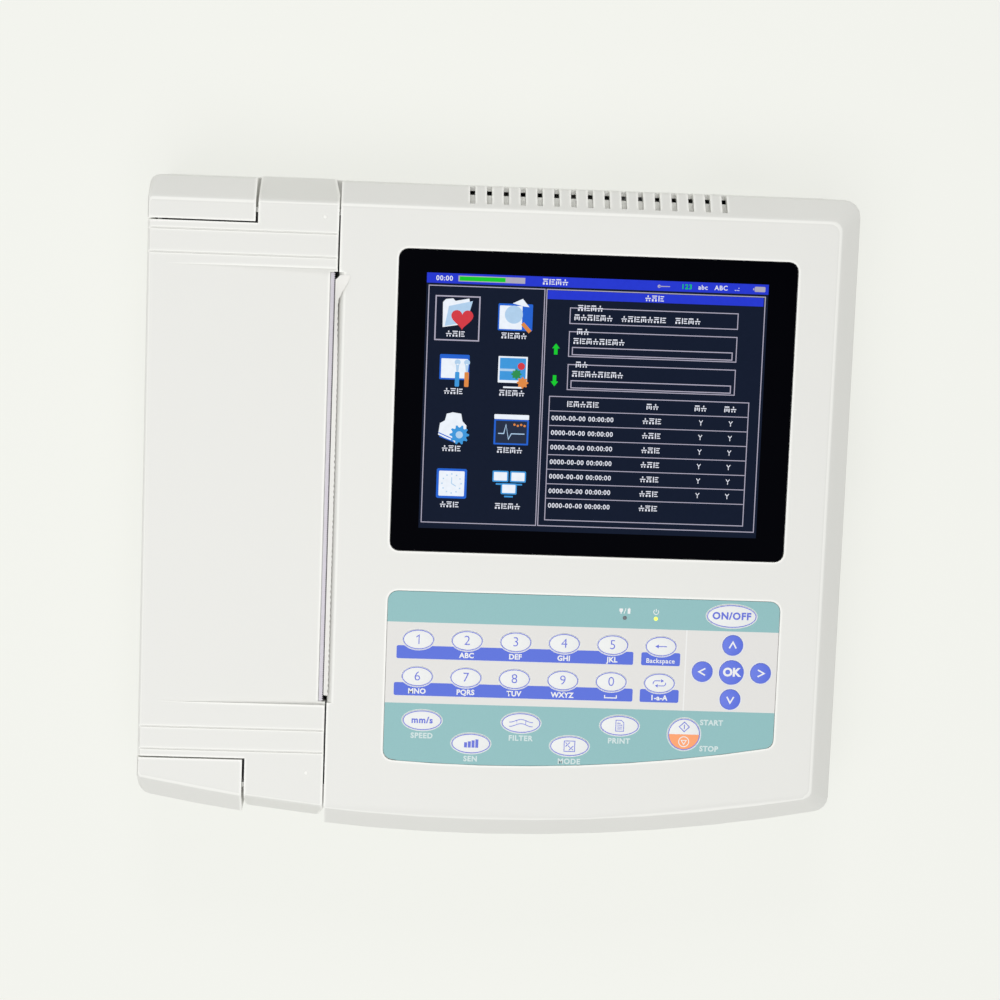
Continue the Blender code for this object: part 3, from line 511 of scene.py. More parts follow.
SLOT_Z = 75.0
BEND_Z = 84.2
roll_centre = middle("paper_roll")
platen_centre = middle("platen_roller")
roll_reach = (span("paper_roll")[1].z - span("paper_roll")[0].z) / 2 + 0.5
platen_reach = (span("platen_roller")[1].z - span("platen_roller")[0].z) / 2 + 0.75
between = platen_centre - roll_centre
dip = math.asin((roll_reach + platen_reach) / between.length)
leave = math.degrees(math.atan2(between.y, between.x) - dip) + 90
run_down = arc(roll_centre, roll_reach, leave + 40, leave, 5)
wrap = arc(platen_centre, platen_reach, leave - 180, 0, 12)
path = run_down + [run_down[-1].lerp(wrap[0], share / 4) for share in (1, 2, 3)] + wrap
path.append(Vector((platen_centre.x + platen_reach, SLOT_Z)))
bend = Vector((tip_x / MM + 0.2, BEND_Z))
path.append(Vector((bend.x, BEND_Z - 3.2)))
path.append(bend)
path_length = sum((end - start).length for start, end in zip(path, path[1:]))
print("paper path has", len(path), "points and is", round(path_length, 1), "mm long")

# %% [markdown]
# Above the bend the sheet is free. Each place along the slot gets its own short curve, which says how
# far the paper stands up, how much it leans and how ragged its torn edge is. A point that would
# enter the case's rounded lip is pushed back out to the lip's surface.

# %% Standing edge of the paper
EDGE_STEPS = 10
STANDING = 2.5  # paper above the bend
CORNER_STANDING = 4.9  # what the corner adds to that
PAPER_CLEARANCE = 0.15
LIP_RADIUS = 4.2
lip_centre = Vector((-78.4, 81.8))
paper_low = span("paper_web")[0].y
paper_high = span("paper_web")[1].y


def ramp(value, start, end):
    """0 before the start, 1 after the end, and an even curve between them."""
    share = min(max((value - start) / (end - start), 0.0), 1.0)
    return share * share * (3 - 2 * share)


def clear_of_lip(point):
    """Pushes a point out to the surface of the case's rounded lip."""
    offset = point - lip_centre
    reach = LIP_RADIUS + PAPER_CLEARANCE
    if point.x > lip_centre.x:
        return Vector((point.x, max(point.y, lip_centre.y + reach)))
    if point.y > lip_centre.y and offset.length < reach:
        return lip_centre + offset.normalized() * reach
    return Vector((min(point.x, lip_centre.x - reach), point.y)) if point.y <= lip_centre.y else point


def standing_points(y):
    """Points above the bend, for one place along the slot, with the height along the path."""
    ragged = 0.22 * math.sin(y * 2.1) + 0.14 * math.sin(y * 5.3 + 1.0)
    corner = ramp(y, paper_high - 12.0, paper_high - 0.5)
    front_corner = 1.0 - ramp(y, paper_low, paper_low + 6.0)
    length = STANDING + ragged * (1 - corner) + CORNER_STANDING * corner
    slack = ramp(y, paper_high - 50.0, paper_high - 14.0) * (1 - corner)
    base_tilt = 60.0 - 22.0 * slack + 6.0 * corner - 8.0 * front_corner
    point = bend
    points = []
    for index in range(1, EDGE_STEPS + 1):
        tilt = math.radians(base_tilt + 18.0 * corner * ramp(index / EDGE_STEPS, 0.4, 1.0))
        point = clear_of_lip(point + Vector((math.sin(tilt), math.cos(tilt))) * (length / EDGE_STEPS))
        points.append(point)
    return points


torn_top = standing_points((paper_low + paper_high) / 2)[-1]
print("torn edge stands", round(torn_top.y - bend.y, 1), "mm above the bend")

# %% [markdown]
# The grid has one row of points for each point of the path, and a few hundred columns along the
# slot, so the torn edge can be ragged. We move every point to its place. Solidify then gives the
# sheet the thickness of real paper, which keeps its edge visible from the side.

# %% Recording paper
ALONG = 260
CORNER_SKEW = 2.3
rows = len(path) + EDGE_STEPS
bpy.ops.object.select_all(action="DESELECT")
bpy.ops.mesh.primitive_grid_add(x_subdivisions=rows - 1, y_subdivisions=ALONG, size=1.0)
torn_paper = bpy.context.object
torn_paper.name = "torn_paper"
columns = {}
for vertex in torn_paper.data.vertices:
    row = round((vertex.co.x + 0.5) * (rows - 1))
    share = vertex.co.y + 0.5
    y = paper_low + (paper_high - paper_low) * share
    if row < len(path):
        x, z = path[row]
    else:
        column = round(share * ALONG)
        if column not in columns:
            columns[column] = standing_points(y)
        x, z = columns[column][row - len(path)]
        y += CORNER_SKEW * ramp(y, paper_high - 12.0, paper_high) * ramp(row, len(path) - 1, len(path) + 3)
    vertex.co = (x * MM, y * MM, z * MM)
sheet = torn_paper.modifiers.new("paper_thickness", "SOLIDIFY")
sheet.thickness = 0.1 * MM
sheet.offset = 0.0
only(torn_paper)
bpy.ops.object.modifier_apply(modifier=sheet.name)
bpy.ops.object.shade_smooth_by_angle(angle=math.radians(40))
mount(torn_paper, "base", paper, "paper_web")
print("paper sheet is", round(paper_high - paper_low), "mm wide")

# %% [markdown]
# ## Flat shapes
# The display's picture and the keypad's print are flat shapes of ink or light. A 2D curve fills
# itself: an outline inside another becomes a hole. We draw in millimetres, make a mesh of the
# result, and only then scale it down, because Blender fills tiny outlines badly.


# %% Outlines
def oval(centre, width, height, points=48):
    turns = [math.tau * index / points for index in range(points)]
    return [(centre[0] + width / 2 * math.cos(t), centre[1] + height / 2 * math.sin(t)) for t in turns]


def bow(radius, angles, x=0.0, y=0.0):
    """Points on a circle at the given angles in degrees."""
    turns = [math.radians(angle) for angle in angles]
    return [(x + radius * math.cos(t), y + radius * math.sin(t)) for t in turns]


def slab(left, low, right, high, corner=0.0, steps=4):
    """A rectangle, with rounded corners if a radius is given."""
    if corner == 0:
        return [(left, low), (right, low), (right, high), (left, high)]
    outline = []
    centres = ((right, high, 0), (left, high, 90), (left, low, 180), (right, low, 270))
    for x, y, start in centres:
        inner_x = x - corner if x == right else x + corner
        inner_y = y - corner if y == high else y + corner
        for step in range(steps + 1):
            turn = math.radians(start + 90 * step / steps)
            outline.append((inner_x + corner * math.cos(turn), inner_y + corner * math.sin(turn)))
    return outline


def stroke(points, width):
    """The outline of a line of even width through the points."""
    left, right = [], []
    for index, point in enumerate(points):
        point = Vector(point)
        before = (point - Vector(points[index - 1])).normalized() if index else None
        after = (Vector(points[index + 1]) - point).normalized() if index + 1 < len(points) else None
        along = (before or after) + (after or before)
        along.normalize()
        across = Vector((-along.y, along.x))
        edge = before or after
        reach = width / 2 / max(across.dot(Vector((-edge.y, edge.x))), 0.5)
        left.append(tuple(point + across * reach))
        right.append(tuple(point - across * reach))
    return left + right[::-1]


def moved(outline, x, y, scale=1.0, turn=0.0):
    """An outline turned, scaled and moved to a place."""
    cos, sin = math.cos(math.radians(turn)), math.sin(math.radians(turn))
    return [(x + scale * (a * cos - b * sin), y + scale * (a * sin + b * cos)) for a, b in outline]


# %% Flat pieces
def flat(name, outlines, height, thickness=0.0):
    """A flat piece at a height, in millimetres. With a thickness it is centred on that height."""
    curve = bpy.data.curves.new(name, "CURVE")
    curve.dimensions = "2D"
    curve.fill_mode = "BOTH"
    curve.extrude = thickness / 2
    for outline in outlines:
        spline = curve.splines.new("POLY")
        spline.points.add(len(outline) - 1)
        for point, (x, y) in zip(spline.points, outline):
            point.co = (x, y, 0.0, 1.0)
        spline.use_cyclic_u = True
    piece = bpy.data.objects.new(name, curve)
    bpy.context.scene.collection.objects.link(piece)
    only(piece)
    bpy.ops.object.convert(target="MESH")
    piece = bpy.context.object
    piece.scale = (MM, MM, MM)
    piece.location.z = height * MM
    settle(piece)
    bpy.ops.object.mode_set(mode="EDIT")
    bpy.ops.mesh.select_all(action="SELECT")
    bpy.ops.mesh.remove_doubles(threshold=0.002 * MM)
    if thickness == 0 and piece.data.polygons[0].normal.z < 0:
        bpy.ops.mesh.flip_normals()
    bpy.ops.object.mode_set(mode="OBJECT")
    return piece


# %% [markdown]
# ## The display
# The window is one sheet of black acrylic, flush with the case. Its face is polished but hard-coated
# against glare, so its reflection is kept low. The lit panel is drawn as thin layers of light just
# above it: the dark field, then bars and lines, then pictures. Each layer is 0.02 mm above the last.


# %% Display finishes
def glow(name, colour):
    """A lit colour: the panel shines, so the studio light hardly changes it."""
    material, shader, place = start_finish(name, [channel * 0.05 for channel in colour], 0.3, specular=0.01)
    cells = add(material, "ShaderNodeTexNoise", {"Vector": place, "Scale": 450.0, "Detail": 2.0})
    light = blended(material, cells.outputs["Fac"], shaded(colour, 0.92), shaded(colour, 1.08))
    join(material, light, shader.inputs["Emission Color"])
    shader.inputs["Emission Strength"].default_value = 1.0
    return material


def polished(name, colour, roughness, specular):
    """Polished acrylic with faint wiping smears, which show only in its gloss."""
    material, shader, place = start_finish(name, colour, roughness, specular=specular)
    smears = add(
        material,
        "ShaderNodeTexNoise",
        {"Vector": place, "Scale": 35.0, "Detail": 6.0, "Distortion": 1.5},
    )
    wiped = add(
        material,
        "ShaderNodeMapRange",
        {"Value": smears.outputs["Fac"], "To Min": roughness * 0.6, "To Max": roughness * 1.8},
    )
    join(material, wiped.outputs["Result"], shader.inputs["Roughness"])
    return material


black_acrylic = polished("black_acrylic", (0.0004, 0.0005, 0.0017), 0.12, 0.006)
soften("display_window", "acrylic_window", "base", black_acrylic, 0.25)
print("window finish:", black_acrylic.name)

# %% Layers of the panel
window_high = span("display_window")[1]
PANEL_WIDTH = 170.4
PANEL_HEIGHT = 127.8
MODULE_BORDER = 6.8  # from the module's edge to its lit area
panel_left = span("display_module")[0].x + MODULE_BORDER
panel_top = span("display_module")[1].y - MODULE_BORDER
LAYER = 0.02


def lit(name, outlines, layer, material):
    """Lit shapes on the panel, drawn from its top left corner with y downwards."""
    placed = [[(panel_left + x, panel_top - y) for x, y in outline] for outline in outlines]
    piece = flat(name, placed, window_high.z + LAYER * (layer + 1))
    return mount(piece, "base", material)


field_glow = glow("panel_field", (0.0068, 0.0112, 0.0270))
blue_glow = glow("panel_blue", (0.020, 0.040, 0.60))
line_glow = glow("panel_line", (0.40, 0.38, 0.48))
text_glow = glow("panel_text", (0.74, 0.76, 0.84))
green_glow = glow("panel_green", (0.01, 0.56, 0.03))
lit("panel_field", [slab(0, 0, PANEL_WIDTH, PANEL_HEIGHT)], 0, field_glow)
lit("panel_blue_bars", [slab(0, 0, PANEL_WIDTH, 5.0), slab(60.2, 6.6, 168.2, 11.0)], 1, blue_glow)
print("lit panel, in mm:", PANEL_WIDTH, "x", PANEL_HEIGHT)


# %% Frames on the panel
def frame_lines(left, top, right, low, width=0.45):
    """A hollow rectangle: an outer outline and its hole."""
    return [slab(left, top, right, low), slab(left + width, top + width, right - width, low - width)]


TABLE_TOP = 59.2
TABLE_LOW = 122.0
TABLE_ROWS = 7
HEADER = 7.3
ROW = 7.35
frames = frame_lines(1.0, 6.0, 59.0, 125.0) + frame_lines(59.6, 6.0, 169.2, 125.0)
frames += frame_lines(4.6, 11.0, 27.0, 33.4, 0.65)
frames += frame_lines(71.6, 14.8, 156.0, 23.0)
for top, low in ((26.6, 39.4), (43.0, 56.0)):
    frames += frame_lines(71.6, top, 156.0, low) + frame_lines(73.4, low - 5.0, 154.0, low - 0.9, 0.5)
frames += frame_lines(63.0, TABLE_TOP, 163.6, TABLE_LOW)
for row in range(TABLE_ROWS):
    rule_y = TABLE_TOP + HEADER + ROW * row
    frames.append(slab(63.5, rule_y, 163.1, rule_y + 0.4))
frames += [slab(15.6, 1.0, 48.8, 3.9), slab(115.6, 2.5, 121.0, 2.9), oval((115.6, 2.7), 1.6, 1.6, 16)]
frames += [slab(163.4, 1.2, 168.8, 3.8, 0.5), slab(162.6, 2.0, 163.2, 3.0)]
lit("panel_lines", frames, 2, line_glow)
gauge = [slab(16.2, 1.4, 39.0, 3.5)]
arrow_up = [(0, -2.9), (1.9, -0.4), (0.9, -0.4), (0.9, 2.7), (-0.9, 2.7), (-0.9, -0.4), (-1.9, -0.4)]
gauge += [moved(arrow_up, 65.4, 35.8), moved(arrow_up, 65.3, 51.5, turn=180)]
lit("panel_green_marks", gauge, 3, green_glow)
print("frames and lines on the panel:", len(frames))

# %% [markdown]
# Words on the panel are drawn as rows of small abstract marks, which read as text from a distance and
# say nothing. Times and dates use digits from Blender's own font, and all of them are zeros. The
# typing modes in the top bar are the plain 123, abc and ABC.


# %% Marks for words
MARKS = (
    ((0.0, 0.0, 0.9, 0.16), (0.1, 0.32, 0.8, 0.48), (0.0, 0.64, 0.3, 1.0), (0.55, 0.64, 0.85, 1.0)),
    ((0.0, 0.0, 0.18, 1.0), (0.34, 0.05, 0.95, 0.22), (0.34, 0.42, 0.8, 0.58), (0.34, 0.8, 0.95, 0.96)),
    ((0.05, 0.0, 0.85, 0.2), (0.0, 0.36, 0.2, 1.0), (0.36, 0.36, 0.56, 0.86), (0.72, 0.36, 0.92, 1.0)),
    ((0.35, 0.0, 0.55, 0.3), (0.0, 0.42, 0.95, 0.58), (0.12, 0.7, 0.32, 1.0), (0.6, 0.7, 0.8, 1.0)),
)


def words(left, middle_y, count, size=2.9):
    """A row of small marks, one for each sign of a word. Each mark is four bars in a square."""
    bars = []
    for index in range(count):
        x = left + index * size * 1.12
        y = middle_y - size / 2
        for a, b, c, d in MARKS[(index + count) % len(MARKS)]:
            bars.append(slab(x + a * size, y + b * size, x + c * size, y + d * size))
    return bars


captions = words(57.6, 2.5, 4) + words(109.0, 8.9, 3)
captions += words(75.6, 14.9, 4) + words(75.6, 26.7, 2) + words(75.6, 43.1, 2)
captions += words(74.0, 19.6, 6) + words(97.5, 19.6, 7) + words(124.5, 19.6, 4)
captions += words(74.0, 31.4, 8) + words(74.0, 47.8, 8)
captions += words(72.2, 63.0, 5) + words(112.0, 63.0, 2) + words(136.2, 63.0, 2) + words(151.2, 63.0, 2)
ICON_COLUMNS = (15.8, 44.6)
ICON_ROWS = (19.6, 48.2, 76.9, 105.2)
for row_y in ICON_ROWS:
    captions += words(ICON_COLUMNS[0] - 5.4, row_y + 10.3, 3) + words(ICON_COLUMNS[1] - 6.6, row_y + 10.3, 4)
for row in range(TABLE_ROWS):
    line_y = TABLE_TOP + HEADER + ROW * (row + 0.5) + 0.1
    captions += words(110.4, line_y, 3)
    if row < TABLE_ROWS - 1:
        for x in (139.7, 154.7):
            fork = [(x - 0.9, line_y - 1.3), (x, line_y - 0.1), (x + 0.9, line_y - 1.3)]
            captions.append(stroke(fork, 0.4))
            captions.append(slab(x - 0.2, line_y + 0.25, x + 0.2, line_y + 1.3))
lit("panel_captions", captions, 3, text_glow)
print("bars in the captions:", len(captions))


# %% Digits from Blender's own font
def digits(name, text, x, y, height, size, thin=0.0, spacing=1.0):
    """Text turned into a flat mesh, centred on a place, in millimetres.

    Thin is taken off each side of a stroke. Below zero it makes the strokes bolder.
    """
    bpy.ops.object.select_all(action="DESELECT")
    bpy.ops.object.text_add(location=(0, 0, 0))
    piece = bpy.context.object
    piece.name = name
    piece.data.body = text
    piece.data.align_x = "CENTER"
    piece.data.align_y = "CENTER"
    piece.data.size = size
    piece.data.offset = -thin
    piece.data.space_character = spacing
    piece.data.resolution_u = 3
    bpy.ops.object.convert(target="MESH")
    piece = bpy.context.object
    piece.scale = (MM, MM, MM)
    piece.location = (x * MM, y * MM, height * MM)
    return settle(piece)


def panel_digits(name, text, left, y, size, material=text_glow):
    """Digits on the panel, given by their left edge."""
    piece = digits(name, text, panel_left + left, panel_top - y, window_high.z + LAYER * 4, size, -0.06, 1.12)
    piece.data.transform(Matrix.Translation((piece.dimensions.x / 2, 0, 0)))
    return mount(piece, "base", material)


panel_digits("panel_clock", "00:00", 4.6, 2.6, 3.4)
panel_digits("panel_mode", "123", 127.0, 2.6, 3.4, green_glow)
panel_digits("panel_modes", "abc   ABC   ..:", 135.2, 2.6, 3.2)
for row in range(TABLE_ROWS):
    row_y = TABLE_TOP + HEADER + ROW * (row + 0.5) + 0.2
    panel_digits(f"panel_date_{row}", "0000-00-00 00:00:00", 64.6, row_y, 3.3)
print("panel text rows:", TABLE_ROWS)

# %% [markdown]
# ## Menu pictures
# The eight pictures on the panel are plain signs of our own: a folder with a heart, a magnifier,
# tools, a monitor with gears, a printer with a gear, a heartbeat with electrode dots, a clock and
# three linked screens. Shapes of one colour and one layer share a mesh, so each picture only adds
# its outlines to a list. Later layers lie on top.

# %% Picture colours
PICTURE_COLOURS = {
    "white": (0.80, 0.85, 0.92),
    "pale": (0.42, 0.60, 0.80),
    "sky": (0.05, 0.30, 0.68),
    "blue": (0.02, 0.12, 0.60),
    "red": (0.62, 0.045, 0.06),
    "orange": (0.70, 0.24, 0.06),
    "green": (0.03, 0.26, 0.08),
    "dark": (0.02, 0.03, 0.06),
}
drawn = {(colour, layer): [] for colour in PICTURE_COLOURS for layer in (0, 1, 2)}


def draw(colour, layer, *outlines):
    drawn[colour, layer].extend(outlines)


def gear(x, y, radius, teeth=8):
    """A gear's outline: short arcs, in turn at its tips and at its roots."""
    outline = []
    for step in range(teeth * 4):
        reach = radius if step % 4 < 2 else radius * 0.76
        turn = math.tau * (step - 0.5) / (teeth * 4)
        outline.append((x + reach * math.cos(turn), y + reach * math.sin(turn)))
    return outline


def heart(x, y, size):
    outline = []
    for step in range(36):
        t = math.tau * step / 36
        across = 16 * math.sin(t) ** 3
        up = 13 * math.cos(t) - 5 * math.cos(2 * t) - 2 * math.cos(3 * t) - math.cos(4 * t)
        outline.append((x + across * size / 32, y - up * size / 32))
    return outline


# %% The first four pictures
left_x, right_x = ICON_COLUMNS
row_1, row_2, row_3, row_4 = (row_y for row_y in ICON_ROWS)
draw("white", 0, [(left_x - 7.2, row_1 + 7.2), (left_x - 7.4, row_1 - 5.2), (left_x - 6.0, row_1 - 6.8),
                  (left_x - 2.4, row_1 - 7.2), (left_x - 1.2, row_1 - 6.0), (left_x + 5.6, row_1 - 7.4),
                  (left_x + 6.2, row_1 - 4.0), (left_x + 2.0, row_1 + 5.6)])
draw("pale", 1, [(left_x - 6.2, row_1 + 6.6), (left_x - 4.4, row_1 - 3.4), (left_x + 7.4, row_1 - 6.2),
                 (left_x + 4.6, row_1 + 4.4)])
draw("red", 2, heart(left_x + 2.4, row_1 + 2.6, 11.0))
draw("blue", 0, slab(right_x - 8.6, row_1 - 5.6, right_x + 8.6, row_1 + 7.8, 0.6))
draw("white", 1, slab(right_x - 7.9, row_1 - 4.6, right_x + 3.4, row_1 + 7.1, 0.3))
draw("white", 1, [(right_x + 4.2, row_1 - 4.4), (right_x - 1.6, row_1 - 5.8), (right_x + 3.4, row_1 - 8.2),
                  (right_x + 6.8, row_1 - 4.2)])
draw("pale", 2, oval((right_x - 0.8, row_1 - 0.2), 9.0, 9.0, 28))
draw("orange", 2, stroke([(right_x + 3.6, row_1 + 4.0), (right_x + 7.6, row_1 + 8.2)], 1.9))
draw("blue", 0, slab(left_x - 8.0, row_2 - 8.0, left_x + 6.8, row_2 + 4.6, 0.6))
draw("white", 1, slab(left_x - 7.2, row_2 - 5.9, left_x + 6.0, row_2 + 3.8, 0.3))
for x, grip in ((left_x + 0.9, "sky"), (left_x + 5.6, "orange")):
    draw(grip, 2, slab(x - 1.1, row_2 + 0.6, x + 1.1, row_2 + 8.0, 0.5))
    draw("pale", 2, slab(x - 0.5, row_2 - 3.4, x + 0.5, row_2 + 0.5), oval((x, row_2 - 4.2), 3.0, 2.8, 20))
draw("white", 0, slab(right_x - 7.6, row_2 - 8.0, right_x + 7.0, row_2 + 5.2, 0.3))
draw("white", 0, slab(right_x - 4.8, row_2 + 7.1, right_x + 4.6, row_2 + 7.9))
draw("sky", 1, slab(right_x - 6.8, row_2 - 7.2, right_x + 6.2, row_2 + 3.9))
draw("pale", 2, slab(right_x - 6.8, row_2 - 1.8, right_x + 0.8, row_2 - 0.6))
draw("red", 2, oval((right_x + 3.9, row_2 - 3.2), 3.6, 3.6, 24))
draw("green", 2, gear(right_x + 1.6, row_2 + 0.8, 2.6))
draw("orange", 2, gear(right_x + 4.8, row_2 + 5.0, 2.9))

print("outlines in four pictures:", sum(len(outlines) for outlines in drawn.values()))

# %% The other four pictures
draw("white", 0, [(left_x - 7.6, row_3 + 3.6), (left_x - 6.8, row_3 - 2.2), (left_x - 4.4, row_3 - 3.6),
                  (left_x - 3.6, row_3 - 7.0), (left_x - 0.6, row_3 - 7.8), (left_x + 3.6, row_3 - 7.2),
                  (left_x + 4.4, row_3 - 3.4), (left_x + 6.4, row_3 - 1.4), (left_x + 6.4, row_3 + 5.0),
                  (left_x + 1.4, row_3 + 7.6)])
draw("blue", 1, stroke([(left_x - 7.4, row_3 + 2.6), (left_x - 0.6, row_3 + 5.4)], 0.5))
draw("blue", 1, stroke([(left_x - 7.0, row_3 + 4.4), (left_x + 0.4, row_3 + 7.0)], 0.5))
draw("sky", 2, gear(left_x + 3.0, row_3 + 3.4, 4.9, 10), oval((left_x + 3.0, row_3 + 3.4), 3.6, 3.6, 24))
draw("pale", 1, oval((left_x + 3.0, row_3 + 3.4), 3.7, 3.7, 24))
draw("white", 0, slab(right_x - 8.6, row_3 - 7.6, right_x + 8.8, row_3 - 5.2, 0.4))
draw("blue", 0, slab(right_x - 8.6, row_3 - 5.1, right_x + 8.8, row_3 + 7.6, 0.4))
draw("dark", 1, slab(right_x - 7.7, row_3 - 4.4, right_x + 7.9, row_3 + 6.8))
trace = [(-6.4, 2.0), (-3.6, 2.0), (-2.6, -2.6), (-1.2, 4.8), (0.2, 2.0), (6.8, 2.0)]
draw("pale", 2, stroke([(right_x + x, row_3 + y) for x, y in trace], 0.5))
for step in range(4):
    draw("orange", 2, oval((right_x + 1.6 + step * 1.7, row_3 - 2.6 + 0.5 * (step % 2)), 1.2, 1.2, 14))
draw("blue", 0, slab(left_x - 7.6, row_4 - 7.8, left_x + 7.6, row_4 + 7.2, 1.0))
draw("white", 1, slab(left_x - 6.4, row_4 - 6.6, left_x + 6.4, row_4 + 6.0, 0.5))
for hour in range(12):
    turn = math.tau * hour / 12
    draw("pale", 2, oval((left_x + 4.8 * math.cos(turn), row_4 - 0.3 + 4.8 * math.sin(turn)), 0.8, 0.8, 10))
draw("pale", 2, stroke([(left_x, row_4 - 3.4), (left_x, row_4 - 0.3), (left_x + 2.2, row_4 + 1.0)], 0.5))
for x, y, layer in ((-4.4, -4.6, 0), (4.4, -4.6, 0), (0.0, 1.6, 1)):
    screen_x = right_x + x
    screen_y = row_4 + y
    draw("sky", layer, slab(screen_x - 4.0, screen_y - 2.9, screen_x + 4.0, screen_y + 2.7, 0.6))
    draw("white", layer + 1, slab(screen_x - 3.3, screen_y - 2.2, screen_x + 3.3, screen_y + 2.0, 0.3))
    draw("sky", layer, slab(screen_x - 2.2, screen_y + 3.4, screen_x + 2.2, screen_y + 4.2))

# %% Lighting the pictures
for (colour, layer), outlines in drawn.items():
    if outlines:
        name = "picture_" + colour
        light = bpy.data.materials.get(name) or glow(name, PICTURE_COLOURS[colour])
        lit(f"{name}_{layer}", outlines, 3 + layer, light)
print("picture colours:", len(PICTURE_COLOURS))

# %% [markdown]
# ## The keypad's membrane
# The keypad is a printed polyester skin. Its bands and strips belong to the print, so they are drawn
# by its material: each is a rectangle tested against the point's own place. A rounded rectangle is
# the set of points whose distance to a smaller rectangle is under the corner's radius.


# %% Printed rectangles
def inside(material, place, left, low, right, high, corner=0.0):
    """A node output that is 1 inside a rectangle of the keypad, and 0 outside. In millimetres."""
    middle_point = ((left + right) / 2 * MM, (low + high) / 2 * MM, 0.0)
    half = ((right - left) / 2 * MM - corner * MM, (high - low) / 2 * MM - corner * MM, 1.0)
    offset = add(material, "ShaderNodeVectorMath", {0: place, 1: middle_point}, operation="SUBTRACT")
    size = add(material, "ShaderNodeVectorMath", {0: offset.outputs[0]}, operation="ABSOLUTE")
    beyond = add(material, "ShaderNodeVectorMath", {0: size.outputs[0], 1: half}, operation="SUBTRACT")
    outside = add(material, "ShaderNodeVectorMath", {0: beyond.outputs[0], 1: (0, 0, 0)}, operation="MAXIMUM")
    away = add(material, "ShaderNodeVectorMath", {0: outside.outputs[0]}, operation="LENGTH")
    reach = corner * MM + 0.00001
    test = add(material, "ShaderNodeMath", {0: away.outputs["Value"], 1: reach}, operation="LESS_THAN")
    return test.outputs[0]


def printed_membrane(name, ground, prints):
    """Polyester with printed rectangles, each a colour and its limits, over a ground colour."""
    material, shader, place = start_finish(name, ground, 0.42, specular=0.3)
    weave = add(material, "ShaderNodeTexNoise", {"Vector": place, "Scale": 1800.0, "Detail": 2.0})
    tone = blended(material, weave.outputs["Fac"], shaded(ground, 0.965), shaded(ground, 1.035))
    for colour, limits in prints:
        tone = blended(material, inside(material, place, *limits), tone, colour)
    join(material, tone, shader.inputs["Base Color"])
    raise_grain(material, shader, weave.outputs["Fac"], 0.5, 0.004)
    return material


TEAL = (0.278, 0.520, 0.535)
BAND_GREY = (0.780, 0.770, 0.750)
STRIP_BLUE = (0.090, 0.155, 0.720)
STRIP_HEIGHT = 6.7
STRIP_CORNER = 0.9
pad_low, pad_high = span("keypad_overlay")
BAND_TOP = -53.75
BAND_LOW = -95.35
DIVIDER_PALE = (0.88, 0.88, 0.87)
prints = [(BAND_GREY, (pad_low.x - 5, BAND_LOW, pad_high.x + 5, BAND_TOP))]
prints.append((DIVIDER_PALE, (98.3, BAND_LOW, 98.9, BAND_TOP)))
STRIPS = ((-48.1, -72.45, 71.9), (76.0, -72.45, 95.8), (-48.9, -91.45, 72.4), (76.1, -91.45, 95.9))
for left, low, right in STRIPS:
    prints.append((STRIP_BLUE, (left, low, right, low + STRIP_HEIGHT, STRIP_CORNER)))
membrane_print = printed_membrane("membrane_print", TEAL, prints)
print("printed areas on the membrane:", len(prints))

# %% [markdown]
# The membrane's front edge is bowed like the case's. Its outline is three straight sides with
# rounded corners and one row of points along the bow. Every key looks out through a hole a tenth of
# a millimetre larger than itself.

# %% Membrane outline
EDGE_CORNER = 5.0
FRONT_Y = -126.45
BOW = 0.00063


def front_edge(x):
    return FRONT_Y + BOW * x * x


def rounding(x, y, across, up, swap=False):
    """A quarter circle in a corner. Across and up are 1 or -1, towards the inside of the outline."""
    points = []
    for step in range(7):
        turn = math.radians(step * 15)
        a, b = (math.sin(turn), math.cos(turn)) if swap else (math.cos(turn), math.sin(turn))
        points.append((x + across * EDGE_CORNER * (1 - a), y + up * EDGE_CORNER * (1 - b)))
    return points


BOW_STEPS = 40
bow_left = pad_low.x + EDGE_CORNER + 2
bow_right = pad_high.x - EDGE_CORNER - 2
membrane_outline = rounding(pad_high.x, pad_high.y, -1, -1)
membrane_outline += rounding(pad_low.x, pad_high.y, 1, -1, swap=True)
membrane_outline += rounding(pad_low.x, front_edge(pad_low.x), 1, 1)
for step in range(BOW_STEPS + 1):
    x = bow_left + (bow_right - bow_left) * step / BOW_STEPS
    membrane_outline.append((x, front_edge(x)))
membrane_outline += rounding(pad_high.x, front_edge(pad_high.x - EDGE_CORNER), -1, 1, swap=True)
print("membrane outline has", len(membrane_outline), "points")


# %% Keys and their holes
keys = [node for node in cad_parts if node.startswith("key_")]


def key_shape(node, grow=0.0):
    """The oval of a key, wider by so many millimetres."""
    low, high = span(node)
    centre = (low + high) / 2
    return oval((centre.x, centre.y), high.x - low.x + grow, high.y - low.y + grow, 64)


pad_thickness = pad_high.z - pad_low.z
holes = [key_shape(node, 0.2) for node in keys]
lamps = ["mains_lamp", "power_lamp"]
holes += [key_shape(node, 0.1) for node in lamps]
membrane = flat("membrane", [membrane_outline] + holes, (pad_low.z + pad_high.z) / 2, pad_thickness)
mount(membrane, "base", membrane_print, "keypad_overlay")
print("membrane with", len(holes), "holes")

# %% [markdown]
# ## Keys
# Each key is a raised cap with a soft rim, a thin blue ring, and its sign printed on top. The ring and
# signs ride with the cap. The white ring around each key is part of the membrane's print.


